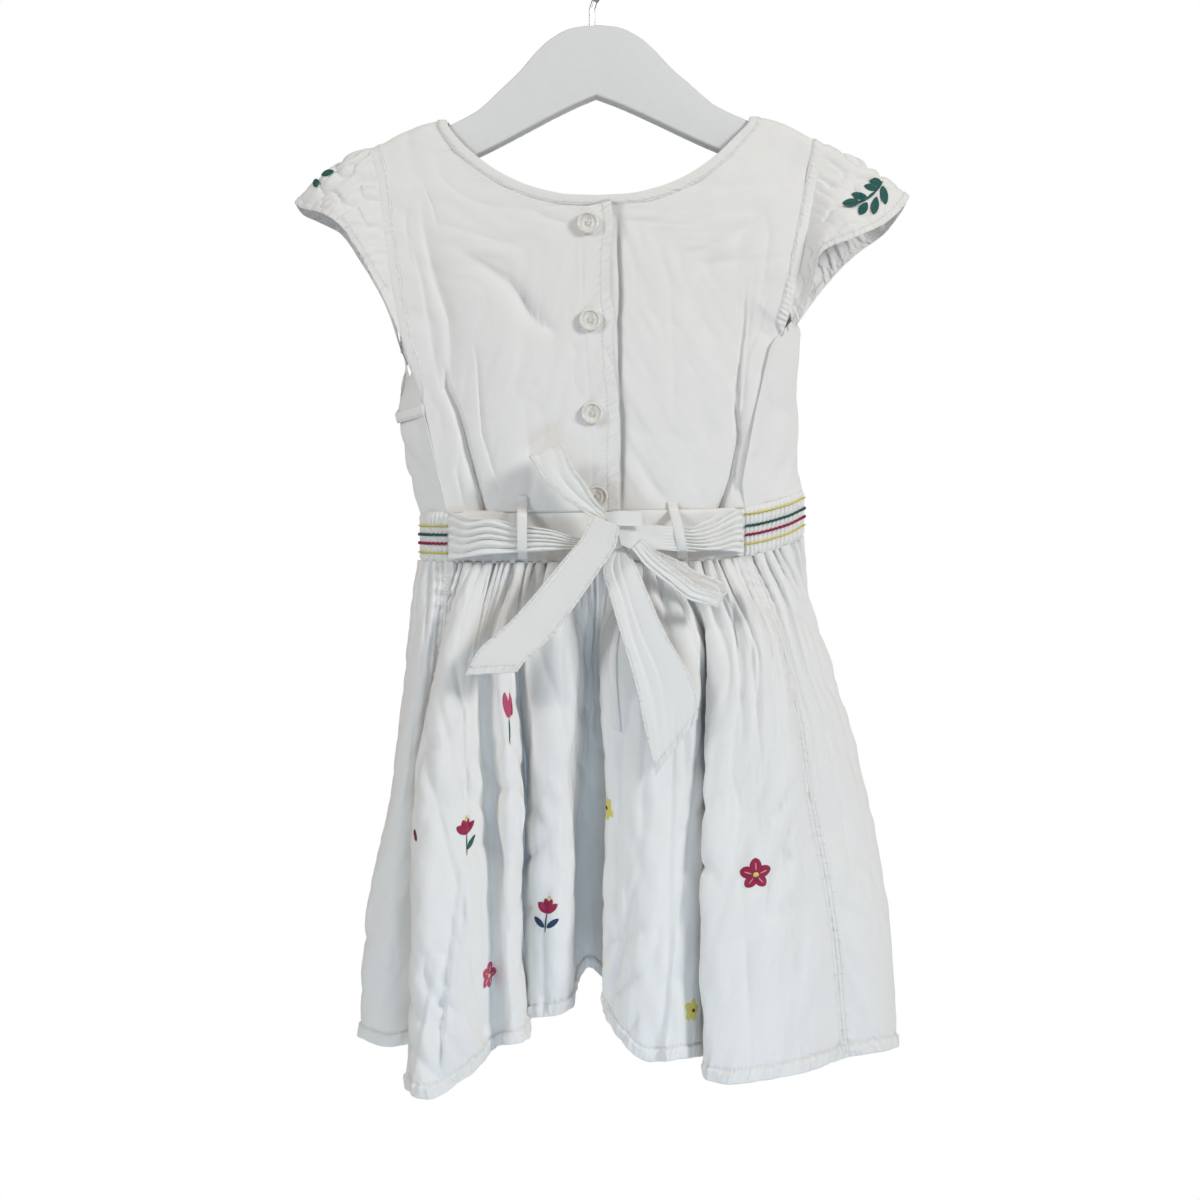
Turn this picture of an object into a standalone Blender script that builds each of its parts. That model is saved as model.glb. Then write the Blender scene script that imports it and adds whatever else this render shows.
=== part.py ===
"""A toddler's white cotton dress, hung by its shoulders on a child's hanger.

Run it from Blender's text editor, or with blender --background --python part.py.

Frame: metres, +Z up. The origin is the inside top of the hanger's hook, where a rail
carries it. The buttoned back of the dress faces -Y and its smocked front faces +Y.
The tables are in millimetres: x across, y through (minus is the back) and drop, which
is measured down from the neck points, where the neckline meets the shoulder seams.
"""
import math

import bmesh
import bpy
import numpy as np

# Driving sizes, in millimetres
NECK_DROP = 111.0          # neck points below the rail
MIDDLE_X = 1.4             # middle of board and dress beside the hook's wire
WALL = 1.2                 # cotton with its hems and finish, as a solid wall
SEAM_GAP = 0.3             # between pieces that are sewn together
BAND_WIDTH = 6.0           # neck binding and armhole bands
BAND_WALL = 1.0
SASH_WALL = 1.6
LOOP_WALL = 1.28
BOARD_THICK = 12.0
BUTTON_RADIUS = 6.1
BUTTON_THICK = 2.4

COTTON = ("cotton", (0.83, 0.83, 0.82), 0.9, 0.0)
SMOCKED = ("smocked cotton", (0.80, 0.81, 0.80), 0.92, 0.0)
PEARL = ("pearl button", (0.80, 0.78, 0.70), 0.25, 0.0)
PAINTED_WOOD = ("painted wood", (0.82, 0.83, 0.82), 0.4, 0.0)
STEEL = ("steel wire", (0.55, 0.55, 0.55), 0.3, 1.0)

# ---------------------------------------------------------------- bodice
# Each row runs from the neck, or the middle, to the armhole, or the side seam:
# inner x, y, drop, then outer x, y, drop. Row 8 starts the side seam.
SIDE_SEAM_ROW = 8
NECK_ROW = 7
BACK_LEFT_ROWS = (
    (-81.5, -0.2, 0.0, -124.5, -0.2, 16.4),
    (-81.2, -5.4, 0.9, -124.2, -5.4, 17.3),
    (-80.4, -7.9, 3.8, -123.8, -7.9, 20.6),
    (-74.0, -9.6, 12.7, -120.0, -9.4, 37.0),
    (-59.5, -13.0, 25.7, -117.5, -11.0, 54.0),
    (-38.0, -17.0, 38.2, -114.5, -13.0, 76.5),
    (-13.5, -20.5, 44.8, -110.5, -14.0, 101.5),
    (10.0, -22.5, 46.3, -105.5, -14.0, 126.5),
    (10.8, -24.0, 96.0, -96.0, -12.0, 156.0),
    (14.0, -25.0, 158.0, -88.0, -14.0, 189.0),
    (16.8, -23.6, 219.2, -81.0, -15.0, 219.4),
)
BACK_RIGHT_ROWS = (
    (87.0, -0.2, -1.8, 127.5, -0.2, 13.4),
    (86.7, -5.4, -0.9, 127.2, -5.4, 14.3),
    (86.0, -7.9, 2.0, 126.6, -7.9, 17.2),
    (79.5, -9.6, 9.3, 123.2, -9.4, 34.0),
    (67.0, -12.5, 21.9, 120.2, -11.0, 49.5),
    (44.5, -15.5, 36.5, 116.6, -13.0, 68.0),
    (19.5, -17.5, 43.7, 112.2, -14.0, 90.0),
    (-8.0, -18.4, 46.2, 107.2, -14.0, 110.0),
    (-8.0, -20.2, 100.0, 105.5, -11.5, 127.0),
    (-5.2, -21.4, 161.0, 92.7, -14.0, 168.0),
    (-2.4, -20.4, 219.2, 83.0, -16.0, 216.8),
)
# The front rows also name the side: where the panel turns to wrap round to the back.
# inner x, y, drop, side x, y, drop, outer x, y, drop
FRONT_LEFT_ROWS = (
    (-81.5, 0.2, 0.0, -114.5, 0.2, 12.6, -124.5, 0.2, 16.4),
    (-81.2, 5.4, 0.9, -114.2, 5.4, 13.5, -124.2, 5.4, 17.3),
    (-80.4, 7.9, 3.8, -113.6, 7.9, 16.6, -123.8, 7.9, 20.6),
    (-76.0, 10.0, 13.5, -112.0, 9.6, 30.0, -122.5, 9.2, 35.0),
    (-65.0, 14.0, 29.4, -110.0, 12.0, 46.8, -120.5, 11.0, 50.0),
    (-45.3, 18.5, 43.8, -107.5, 14.0, 69.0, -118.0, 13.0, 72.0),
    (-20.0, 22.0, 51.0, -103.0, 15.5, 95.0, -112.5, 13.0, 97.5),
    (-2.5, 23.5, 52.7, -101.0, 15.5, 119.0, -109.0, 11.0, 123.0),
    (-2.5, 26.5, 98.0, -110.0, 2.0, 153.0, -96.0, -12.0, 156.0),
    (-2.5, 28.0, 158.0, -105.5, 1.0, 189.0, -88.0, -14.0, 189.0),
    (-2.5, 27.0, 217.2, -97.2, 0.0, 218.4, -81.0, -15.0, 219.4),
)
FRONT_RIGHT_ROWS = (
    (87.0, 0.2, -1.8, 118.5, 0.2, 10.1, 127.5, 0.2, 13.4),
    (86.7, 5.4, -0.9, 118.2, 5.4, 11.0, 127.2, 5.4, 14.3),
    (86.0, 7.9, 2.0, 117.7, 7.9, 13.9, 126.6, 7.9, 17.2),
    (81.0, 10.0, 12.4, 117.0, 9.6, 27.0, 126.0, 9.2, 31.0),
    (69.0, 14.0, 28.3, 116.0, 12.0, 42.8, 124.6, 11.0, 46.0),
    (48.7, 18.5, 43.2, 115.0, 14.0, 61.0, 123.0, 13.0, 64.0),
    (24.2, 22.0, 51.0, 113.0, 15.0, 83.6, 121.0, 12.5, 86.0),
    (5.5, 23.5, 52.7, 110.5, 14.0, 103.0, 117.0, 9.0, 106.0),
    (5.5, 26.5, 101.0, 116.0, 0.0, 127.0, 105.5, -11.5, 127.0),
    (5.5, 28.0, 159.0, 114.0, 0.0, 169.0, 92.7, -14.0, 168.0),
    (5.5, 27.0, 217.2, 116.5, 0.0, 206.5, 83.0, -16.0, 216.8),
)
# How a front row bends between its inner end and the side: share of the way left in x
# and drop, and share of the depth left.
FRONT_BEND = ((1.0, 1.0), (0.45, 0.92), (0.1, 0.55), (0.0, 0.0))
FRONT_BEND_AT = (0.0, 0.42, 0.72, 0.84, 1.0)
BODICE_ROWS_AT = (0, 1, 2, 3, 4, 4.5, 5, 5.5, 6, 6.5, 7, 7.14, 7.5, 8, 8.5, 9, 10)
BELOW_NECK_ROW = 11        # the grid row a band's width below the neck's lowest points
SHOULDER_CROWN = (3.6, 3.6, 3.0, 0.8)   # how far the shoulder rows bow up, from the seam down
PANEL_COLUMNS = 14
FINE = 120                 # points on a dense line
MIN_SLANT = 0.55           # least share of a band's width that a row near the neck's foot crosses
MITRE_LIMIT = 2.5          # the wall is at most this much thicker along a sharp fold

# Soft folds pressed into the bodice: half width, then points of x, drop, depth.
BACK_FOLDS = (
    (5.5, ((-98, 65, 0.5), (-90, 93, 2.0), (-82, 115, 3.0), (-77, 143, 4.0), (-69, 182, 5.0),
           (-62, 219, 5.0))),
    (6.0, ((80, 95, 0.5), (75, 125, 1.6), (72, 155, 2.4), (70, 183, 2.8), (67, 217, 3.2))),
    (7.0, ((-85, 58, 0.0), (-52, 76, 1.5), (-30, 103, 1.5), (-20, 115, 0.0))),
    (6.0, ((-63, 132, 0.0), (-58, 160, 1.6), (-55, 185, 0.5))),
    (6.0, ((70, 60, 0.0), (62, 85, 1.5), (58, 105, 0.0))),
)
FRONT_FOLDS = (
    (5.0, ((-84, 80, 0.5), (-74, 130, 3.0), (-66, 180, 4.0), (-62, 217, 4.0))),
    (5.0, ((86, 75, 0.5), (78, 130, 3.0), (70, 180, 4.0), (66, 217, 4.0))),
    (8.0, ((-30, 75, 0.0), (-24, 130, 2.0), (-20, 190, 0.5))),
    (8.0, ((34, 80, 0.0), (28, 140, 2.0), (24, 200, 0.5))),
)

# ---------------------------------------------------------------- waist
# The ring that bodice, waistband and skirt share, from the left seam round the back to
# the right seam and on round the front: x, y, drop of the band's top and bottom.
WAIST_RIGHT_SEAM = 4
WAIST_MIDDLE = (4.0, 3.0, 0.0)
WAIST_RING = (
    (-81.0, -15.0, 219.8, 246.0),
    (-55.0, -21.0, 219.6, 246.4),
    (2.0, -23.6, 219.6, 246.4),
    (50.0, -21.5, 218.9, 246.0),
    (83.0, -16.0, 217.2, 243.0),
    (107.0, -9.0, 211.5, 236.5),
    (116.8, 0.0, 207.0, 231.0),
    (105.0, 12.0, 211.5, 236.5),
    (66.0, 22.0, 217.8, 242.0),
    (1.5, 27.0, 217.8, 244.0),
    (-65.0, 22.0, 218.4, 244.0),
    (-92.0, 12.0, 218.8, 245.0),
    (-97.2, 0.0, 219.2, 245.0),
    (-92.5, -9.0, 219.6, 245.5),
    (-81.0, -15.0, 219.8, 246.0),
)
WAISTBAND_BACK_SPANS = 20
SMOCKING_RIBS = 44
SMOCKING_RISE = 0.9
SMOCKING_PINCH = (0.5, 1.0, 0.5)        # how far the ribs rise, from the band's top to its bottom

# ---------------------------------------------------------------- skirt
# One row for each fold line, ridge or trough, from waist to hem: x at four levels,
# y at four levels, and the drop of the hem there.
SKIRT_LEVELS = (301.0, 378.0, 445.0)
BACK_FOLD_LINES = (
    ("seam left", -86, -93, -95, -95, -12, -8, -4, 0, 514),
    ("b edge", -86, -97, -99, -100, -22, -34, -42, -46, 528),
    ("b front", -77, -84, -88, -88, -30, -44, -54, -60, 532),
    ("b right", -67, -71, -69, -69, -28, -42, -50, -52, 523),
    ("b c trough", -61, -57, -56, -54, -18, -20, -26, -28, 512),
    ("c ridge", -52, -46, -47, -44, -30, -36, -38, -38, 508),
    ("c edge", -47, -40, -41, -36, -25, -29, -29, -30, 506),
    ("c d trough", -42, -38, -40, -38, -9, -6, -6, -8, 502),
    ("d left", -33, -31, -32, -32, -26, -24, -20, -16, 498),
    ("d middle", -21, -20, -21, -23, -32, -28, -24, -18, 497),
    ("d edge", -9, -12, -12, -13, -26, -18, -12, -8, 492),
    ("e left", -6, -9, -13, -12, -10, 6, 20, 24, 487),
    ("e deep", -1, -1, -3, -3, -5, 14, 28, 32, 479),
    ("e right", 4, 9, 9, 9, -9, 4, 14, 16, 486),
    ("f edge", 3, 8, 6, 6, -24, -22, -24, -26, 491),
    ("f left", 13, 17, 17, 16, -36, -34, -38, -40, 506),
    ("f middle", 30, 33, 31, 30, -38, -40, -44, -46, 516),
    ("f right", 48, 48, 47, 47, -34, -37, -43, -46, 514),
    ("f lip", 57, 55, 55, 55, -27, -29, -34, -36, 515),
    ("g left", 59.5, 56.3, 56.5, 57.5, -8, -8, -12, -16, 515.5),
    ("g right", 62.5, 59.5, 59.7, 61, -8, -8, -12, -16, 516.5),
    ("h edge", 65, 61, 61, 63.5, -26, -38, -46, -50, 523),
    ("h left", 74, 70, 70, 73, -34, -44, -54, -58, 525),
    ("h middle", 87, 87, 89, 92, -38, -46, -54, -56, 523),
    ("h right", 98, 104, 112, 117, -36, -42, -44, -42, 521),
    ("seam right", 105, 118, 130, 137, -28, -32, -30, -26, 518),
)
FRONT_FOLD_LINES = (
    ("seam right", 105, 118, 130, 137, -28, -32, -30, -26, 518),
    ("right panel", 120, 138, 151, 158, -16, -18, -18, -16, 517),
    ("right edge", 132, 153, 165, 170, 2, 2, 2, 2, 517),
    ("fold 1", 121, 140, 152, 158, 12, 14, 16, 16, 516.5),
    ("fold 2", 110, 125, 134, 139, 27, 38, 46, 50, 517),
    ("fold 3", 101, 113, 121, 126, 22, 24, 28, 30, 513),
    ("fold 4", 85, 91, 98, 102, 32, 46, 58, 64, 514),
    ("fold 5", 71, 74, 79, 82, 31, 42, 50, 52, 511),
    ("fold 6", 62, 64, 68, 71, 22, 22, 25, 27, 507.5),
    ("fold 7", 51, 52, 56, 59, 30, 38, 47, 52, 505),
    ("fold 8", 39, 39, 42, 44, 26, 30, 36, 39, 500),
    ("fold 9", 21, 18, 19, 19, 36, 51, 62, 66, 492),
    ("fold 10", 3, 1, 0, -1, 31, 40, 48, 51, 482),
    ("fold 11", -14, -16, -18, -19, 35, 48, 58, 62, 483.5),
    ("fold 12", -29, -32, -35, -37, 25, 26, 29, 32, 487.5),
    ("fold 13", -43, -46, -50, -53, 33, 45, 55, 59, 495),
    ("fold 14", -60, -64, -69, -73, 30, 40, 48, 51, 502),
    ("fold 15", -74, -79, -86, -90, 22, 24, 28, 30, 506),
    ("fold 16", -90, -99, -108, -113, 24, 34, 44, 49, 510),
    ("fold 17", -101, -112, -123, -129, 12, 16, 20, 22, 511),
    ("left edge", -105, -114, -128, -132, 0, 2, 4, 4, 512),
    ("left panel", -95, -105, -112, -115, -15, -12, -10, -8, 516),
    ("seam left", -86, -93, -95, -95, -12, -8, -4, 0, 514),
)
BACK_SPANS = 96            # columns of cloth round the back
FRONT_SPANS = 80           # and round the front
GATHER_SPANS = 4           # columns to one gather
GATHER_RISE = 1.15
GATHER_UNEVEN = ((0.3, 0.53, 0.0), (0.2, 0.19, 1.0))   # share, turn for each column, start
GATHER_LENGTH = 26.0       # the drop over which gathers fade to a third
SKIRT_ROW_SHARES = (0.0, 0.03, 0.08, 0.15, 0.25, 0.39, 0.56, 0.77, 1.0)
PLACKET_ROWS = (2, 6)

# ---------------------------------------------------------------- sleeves
# From the armhole's low back, over the shoulder, to its low front:
# armhole x, y, drop, then hem x, y, drop, then how far the cloth puffs between them.
LEFT_SLEEVE = (
    (-106.2, -14.6, 124.0, -108.6, -15.4, 126.0, 0.3),
    (-111.0, -14.4, 101.5, -115.5, -17.0, 102.2, 1.0),
    (-115.2, -13.4, 76.7, -128.0, -20.0, 79.5, 2.5),
    (-118.4, -11.4, 54.0, -140.0, -20.0, 61.3, 5.0),
    (-121.0, -9.8, 37.0, -153.0, -14.0, 53.0, 7.0),
    (-124.8, -7.9, 19.4, -164.0, -6.0, 49.0, 8.5),
    (-125.6, 0.0, 15.4, -167.2, 0.0, 46.5, 9.0),
    (-124.8, 7.9, 19.4, -165.0, 8.0, 50.0, 8.5),
    (-123.5, 9.6, 35.0, -157.0, 15.0, 53.2, 7.0),
    (-121.5, 11.4, 50.0, -146.0, 20.0, 58.0, 5.0),
    (-119.0, 13.4, 72.0, -133.5, 20.0, 75.0, 2.5),
    (-115.6, 13.0, 97.5, -118.6, 16.0, 100.0, 1.0),
    (-112.2, 9.6, 121.0, -113.6, 11.0, 122.0, 0.3),
)
RIGHT_SLEEVE = (
    (107.8, -14.6, 108.0, 110.0, -15.4, 111.0, 0.3),
    (113.0, -14.4, 90.0, 115.5, -19.0, 97.0, 1.0),
    (117.4, -13.4, 68.0, 125.0, -24.0, 77.0, 3.0),
    (121.0, -11.4, 49.5, 143.0, -22.0, 68.8, 4.5),
    (124.2, -9.8, 34.0, 160.3, -13.0, 59.5, 5.5),
    (127.6, -7.9, 16.8, 172.6, -5.0, 48.0, 6.0),
    (128.6, 0.0, 12.9, 175.6, 0.0, 42.6, 6.0),
    (127.6, 7.9, 16.8, 174.4, 7.0, 46.8, 6.0),
    (127.0, 9.6, 31.0, 165.5, 16.0, 58.7, 5.5),
    (125.6, 11.4, 46.0, 152.6, 22.0, 67.9, 4.5),
    (124.0, 13.4, 64.0, 141.2, 22.0, 78.2, 3.0),
    (122.0, 13.0, 86.0, 128.2, 18.0, 92.5, 1.5),
    (118.2, 8.6, 105.0, 119.4, 11.0, 106.0, 0.3),
)
SLEEVE_COLUMNS = 37
SLEEVE_ROWS_AT = (0.0, 0.2, 0.6, 1.0)
SLEEVE_GATHERS = 9
SLEEVE_GATHER_RISE = 1.9
SLEEVE_CROWN = 3.4         # stations either side of the shoulder that the gathers reach
SLEEVE_FLUTTER = (1.2, 2.4)        # rise of the hem's waves, and their turn for each station

# ---------------------------------------------------------------- sash
# A row for each section: one edge x, drop, other edge x, drop, depth y, crease depth.
SASH_RUN_LEFT = (
    (-80.5, 219.5, -80.5, 245.2, -17.2, 0.8),
    (-75.0, 221.0, -75.0, 244.8, -20.4, 1.0),
    (-67.0, 223.0, -68.0, 244.0, -24.6, 1.0),
    (-57.0, 223.5, -57.0, 241.5, -27.5, 1.0),
    (-41.0, 227.0, -41.0, 240.0, -29.0, 0.9),
    (-24.0, 230.0, -24.0, 239.0, -31.0, 0.8),
    (-8.0, 234.0, -8.0, 239.0, -34.6, 0.4),
    (4.9, 229.5, 4.9, 234.5, -37.2, 0.2),
)
SASH_RUN_RIGHT = (
    (81.5, 217.6, 82.5, 242.4, -18.2, 0.8),
    (72.0, 219.0, 73.0, 240.5, -22.3, 1.0),
    (60.0, 224.5, 62.0, 239.0, -27.0, 1.0),
    (52.0, 228.0, 53.0, 239.0, -29.5, 0.8),
    (42.0, 228.0, 43.5, 240.5, -32.0, 0.4),
    (33.0, 227.5, 34.0, 240.0, -33.6, 0.2),
    (25.6, 228.0, 25.6, 235.0, -37.0, 0.1),
)
SASH_TAIL_LEFT = (
    (9.5, 228.0, 12.5, 239.0, -45.2, 0.3),
    (-7.0, 239.5, 4.0, 249.5, -45.6, 0.5),
    (-21.0, 254.0, -3.5, 259.0, -47.0, 0.6),
    (-34.0, 268.0, -13.0, 271.5, -48.0, 0.6),
    (-48.0, 282.0, -22.0, 285.5, -48.5, 0.5),
    (-60.0, 295.0, -31.5, 298.0, -48.5, 0.4),
    (-69.0, 309.0, -41.0, 307.0, -48.5, 0.3),
)
SASH_TAIL_RIGHT = (
    (9.5, 240.7, 17.5, 240.9, -38.5, 0.3),
    (6.5, 252.0, 22.0, 251.5, -41.5, 1.0),
    (12.0, 270.0, 32.5, 269.0, -44.0, 1.6),
    (18.0, 286.0, 43.0, 288.0, -45.0, 1.8),
    (25.0, 311.0, 52.0, 307.0, -46.0, 1.6),
    (29.5, 334.0, 56.5, 321.0, -46.5, 1.2),
    (33.0, 363.0, 56.0, 331.0, -46.5, 0.8),
)
SASH_FLAP = (
    (7.2, 217.4, 7.2, 220.9, -41.6, 0.0),
    (14.0, 216.6, 13.0, 225.6, -45.0, 0.1),
    (25.0, 217.6, 26.6, 226.0, -45.0, 0.2),
)
# Loops go out from the knot and come back behind themselves: near half and far half
# share the edges, and the depths differ. Edge x, drop, edge x, drop, front y, back y.
BOW_LOOP_UPPER = (
    (4.8, 226.2, 9.0, 222.4, -39.2, -36.6),
    (-10.0, 214.5, 0.5, 212.5, -41.5, -34.0),
    (-19.5, 206.0, -5.0, 202.5, -43.0, -34.0),
    (-33.0, 193.5, -17.0, 185.5, -42.0, -35.5),
)
BOW_LOOP_LOWER = (
    (26.4, 236.0, 20.2, 239.2, -41.0, -38.0),
    (35.0, 244.5, 24.5, 247.0, -43.0, -36.6),
    (43.0, 250.5, 31.0, 254.5, -45.0, -36.6),
    (58.0, 256.0, 48.0, 265.5, -45.5, -37.0),
    (69.5, 261.5, 64.5, 271.0, -43.5, -38.5),
)
KNOT_MIDDLE = (15.2, -38.6, 230.2)
KNOT_HALF = (10.6, 5.6, 10.2)
KNOT_PINCH = 0.12          # share by which the cloth drawn across the knot waists it
SASH_COLUMNS = 7
LOOP_COLUMNS = 5
LOOP_TURN = (40, 90, 140)  # degrees, sections round a bow loop's end
CREASE_WAVES = 2.0

# Belt loops: top x, drop, bottom x, drop, and how far they stand out, as a share
BELT_LOOPS = {
    "belt_loop_left": (-39.4, 210.5, -39.4, 245.6, 1.0),
    "belt_loop_right": (42.8, 213.5, 48.4, 245.0, 1.27),
}
BELT_LOOP_WIDTH = 5.0
BELT_LOOP_WALL = 1.2
BELT_LOOP_STAND = ((0.0, 0.0), (0.1, 0.3), (0.34, 9.6), (0.62, 10.2), (0.86, 8.6), (1.0, 0.0))

# Buttons: x and drop of each middle
BUTTON_STAND = 0.75        # clear of the panel's bend below it
BUTTONS = ((-3.6, 61.0), (-2.4, 114.4), (-1.3, 165.4), (1.4, 211.0))

# ---------------------------------------------------------------- hanger
BOARD_TOP = ((0, -53.2), (-12.6, -51.6), (-24.4, -46.0), (-33.0, -38.5), (-41.5, -29.0),
             (-53.5, -17.9), (-66.5, -6.6), (-81.5, 1.0), (-100.0, 9.5), (-124.5, 20.7))
BOARD_TILT = math.radians(1.3)   # the right arm hangs a little high
BOARD_END = ((-132.0, 25.2), (-137.0, 31.5), (-137.0, 39.5), (-130.0, 44.5))
BOARD_BOTTOM = ((-118.0, 40.0), (-61.9, 15.7), (-12.0, -8.6), (0, -13.4))
BOARD_EDGE = 1.5
HOOK_INNER_RADIUS = 17.0
HOOK_WIRE_RADIUS = 1.7
HOOK_SEAT_DEPTH = 16.0
HOOK_SEAT_RADIUS = 2.0


# ================================================================ helpers
def smooth(knots, values, at):
    """Monotone cubic through the values, which stand at the knots on the first axis."""
    knots = np.asarray(knots, float)
    values = np.asarray(values, float)
    at = np.asarray(at, float)
    tail = (1,) * (values.ndim - 1)
    slopes = np.diff(values, axis=0) / np.diff(knots).reshape((-1,) + tail)
    product = slopes[1:] * slopes[:-1]
    total = slopes[1:] + slopes[:-1]
    inner = np.where(product > 0, 2 * product / np.where(total == 0, 1, total), 0)
    tangents = np.concatenate([slopes[:1], inner, slopes[-1:]])
    span = np.clip(np.searchsorted(knots, at, side="right") - 1, 0, len(knots) - 2)
    width = (knots[span + 1] - knots[span]).reshape((-1,) + tail)
    t = ((at - knots[span]).reshape((-1,) + tail)) / width
    return ((1 + 2 * t) * (1 - t) ** 2 * values[span] + t * (1 - t) ** 2 * width * tangents[span]
            + t ** 2 * (3 - 2 * t) * values[span + 1] + t ** 2 * (t - 1) * width * tangents[span + 1])


def lengths_along(points):
    """Distance run along a line of points, from its first point."""
    return np.concatenate([[0], np.cumsum(np.linalg.norm(np.diff(points, axis=0), axis=1))])


def unit(vectors):
    """Vectors at length one."""
    return vectors / np.maximum(np.linalg.norm(vectors, axis=-1, keepdims=True), 1e-9)


def side_normals(grid, ring=False):
    """Unit normals of the cloth just before and just after each column."""
    down = np.gradient(grid, axis=0)
    step = np.roll(grid, -1, axis=1) - grid
    if not ring:
        step[:, -1] = step[:, -2]
    before = np.roll(step, 1, axis=1)
    if not ring:
        before[:, 0] = step[:, 0]
    return unit(np.cross(before, down)), unit(np.cross(step, down))


def normals(grid, outwards, ring=False):
    """Unit normals of a grid, on the side where outwards (a vector a point) lies."""
    before, after = side_normals(grid, ring)
    found = unit(before + after)
    return found if np.sum(found * outwards) > 0 else -found


def mitre(grid, ring=False):
    """How much further a wall's inner point lies at a sharp fold, so its sides stay thick."""
    before, after = side_normals(grid, ring)
    lean = np.abs(np.sum(unit(before + after) * before, axis=-1, keepdims=True))
    return 1 / np.maximum(lean, 1 / MITRE_LIMIT)


def to_world(points):
    """Points of x, y and drop in millimetres, as world metres."""
    points = np.asarray(points, float)
    return np.stack([points[..., 0] + MIDDLE_X, points[..., 1], -NECK_DROP - points[..., 2]], -1) / 1000


def material(finish):
    """The Principled material of a finish: name, colour, roughness, metallic."""
    name, colour, roughness, metallic = finish
    found = bpy.data.materials.get(name) or bpy.data.materials.new(name)
    found.use_nodes = True
    shader = found.node_tree.nodes["Principled BSDF"]
    shader.inputs["Base Color"].default_value = (*colour, 1)
    shader.inputs["Roughness"].default_value = roughness
    shader.inputs["Metallic"].default_value = metallic
    return found


def add_object(name, mesh, finish, collection):
    """Puts a mesh in the scene under the piece's name."""
    piece = bpy.data.objects.new(name, mesh)
    collection.objects.link(piece)
    mesh.materials.clear()
    mesh.materials.append(material(finish))
    return piece


def grid_faces(rows, columns, ring=False, holes=()):
    """Quads of a grid, as rows of four indices; holes names (row, column) left out."""
    last = columns if ring else columns - 1
    row, column = np.meshgrid(np.arange(rows - 1), np.arange(last), indexing="ij")
    following = (column + 1) % columns
    quads = np.stack([row * columns + column, row * columns + following,
                      (row + 1) * columns + following, (row + 1) * columns + column], -1)
    keep = np.ones(row.shape, bool)
    for hole_row, hole_column in holes:
        keep[hole_row, hole_column] = False
    return quads[keep]


def split_quads(quads, points):
    """Two triangles for each quad, across its shorter diagonal, so both walls bend alike."""
    a, b, c, d = (points[quads[:, k]] for k in range(4))
    level = np.linalg.norm(a - c, axis=1) <= np.linalg.norm(b - d, axis=1)
    first = np.where(level[:, None], quads[:, [0, 1, 2]], quads[:, [0, 1, 3]])
    second = np.where(level[:, None], quads[:, [0, 2, 3]], quads[:, [1, 2, 3]])
    return np.concatenate([first, second])


def wall_piece(name, outer, inner, finish, collection, ring=False, holes=()):
    """A closed wall between an outer and an inner grid, rimmed wherever the grid ends."""
    rows, columns = outer.shape[:2]
    quads = grid_faces(rows, columns, ring, holes)
    count = rows * columns
    sheet = split_quads(quads, outer.reshape(-1, 3))
    edges = np.concatenate([quads[:, [k, (k + 1) % 4]] for k in range(4)])
    directed = {tuple(edge) for edge in edges.tolist()}
    rims = [(b, a, a + count, b + count) for a, b in sorted(directed) if (b, a) not in directed]
    faces = sheet.tolist() + (sheet[:, ::-1] + count).tolist() + rims
    points = np.concatenate([outer.reshape(-1, 3), inner.reshape(-1, 3)])
    mesh = bpy.data.meshes.new(name)
    mesh.from_pydata(to_world(points).tolist(), [], faces)
    shape = bmesh.new()
    shape.from_mesh(mesh)
    bmesh.ops.delete(shape, geom=[v for v in shape.verts if not v.link_faces], context="VERTS")
    bmesh.ops.recalc_face_normals(shape, faces=shape.faces)
    shape.to_mesh(mesh)
    shape.free()
    mesh.shade_smooth()
    mesh.set_sharp_from_angle(angle=math.radians(50))
    return add_object(name, mesh, finish, collection)


def pull_in_ends(grid, first, last):
    """Draws a grid's first and last columns along their rows, to leave the seam's gap."""
    drawn = grid.copy()
    drawn[:, 0] += unit(grid[:, 1] - grid[:, 0]) * first
    drawn[:, -1] += unit(grid[:, -2] - grid[:, -1]) * last
    return drawn


# ================================================================ bodice
def fold_depth(points, folds):
    """Depth of the soft troughs: a bell across each fold's line, deep as named along it."""
    depth = np.zeros(points.shape[:-1])
    for half_width, line in folds:
        line = np.asarray(line, float)
        best = np.zeros(depth.shape)
        for start, end in zip(line[:-1], line[1:]):
            run = end[:2] - start[:2]
            offset = points[..., [0, 2]] - start[:2]
            share = np.clip((offset @ run) / (run @ run), 0, 1)
            away = np.linalg.norm(offset - share[..., None] * run, axis=-1)
            here = (start[2] + share * (end[2] - start[2])) * np.exp(-(away / half_width) ** 2)
            best = np.maximum(best, here)
        depth += best
    return depth


def neck_slant(rows, row):
    """Length along a row for one unit of width across the neck edge there."""
    if row >= NECK_ROW:
        return 1.0 / MIN_SLANT
    edge = rows[:, :3]
    along = unit(edge[row + 1] - edge[max(row - 1, 0)])
    across = unit(rows[row, -3:] - edge[row])
    return 1.0 / max(np.linalg.norm(np.cross(along, across)), MIN_SLANT)


def even_columns(fine, rows):
    """Sets each row's columns by length: one band's width in from both ends, even between.

    fine holds each row of the table as a dense line. The second and the last but one
    column are where the neck binding and the armhole band end.
    """
    spaced = []
    for number, line in enumerate(fine):
        run = lengths_along(line)
        first = BAND_WIDTH * neck_slant(rows, number)
        last = run[-1] - BAND_WIDTH
        at = np.concatenate([[0], np.linspace(first, last, PANEL_COLUMNS - 2), [run[-1]]])
        spaced.append(np.stack([np.interp(at, run, line[:, k]) for k in range(3)], -1))
    return np.array(spaced)


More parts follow.
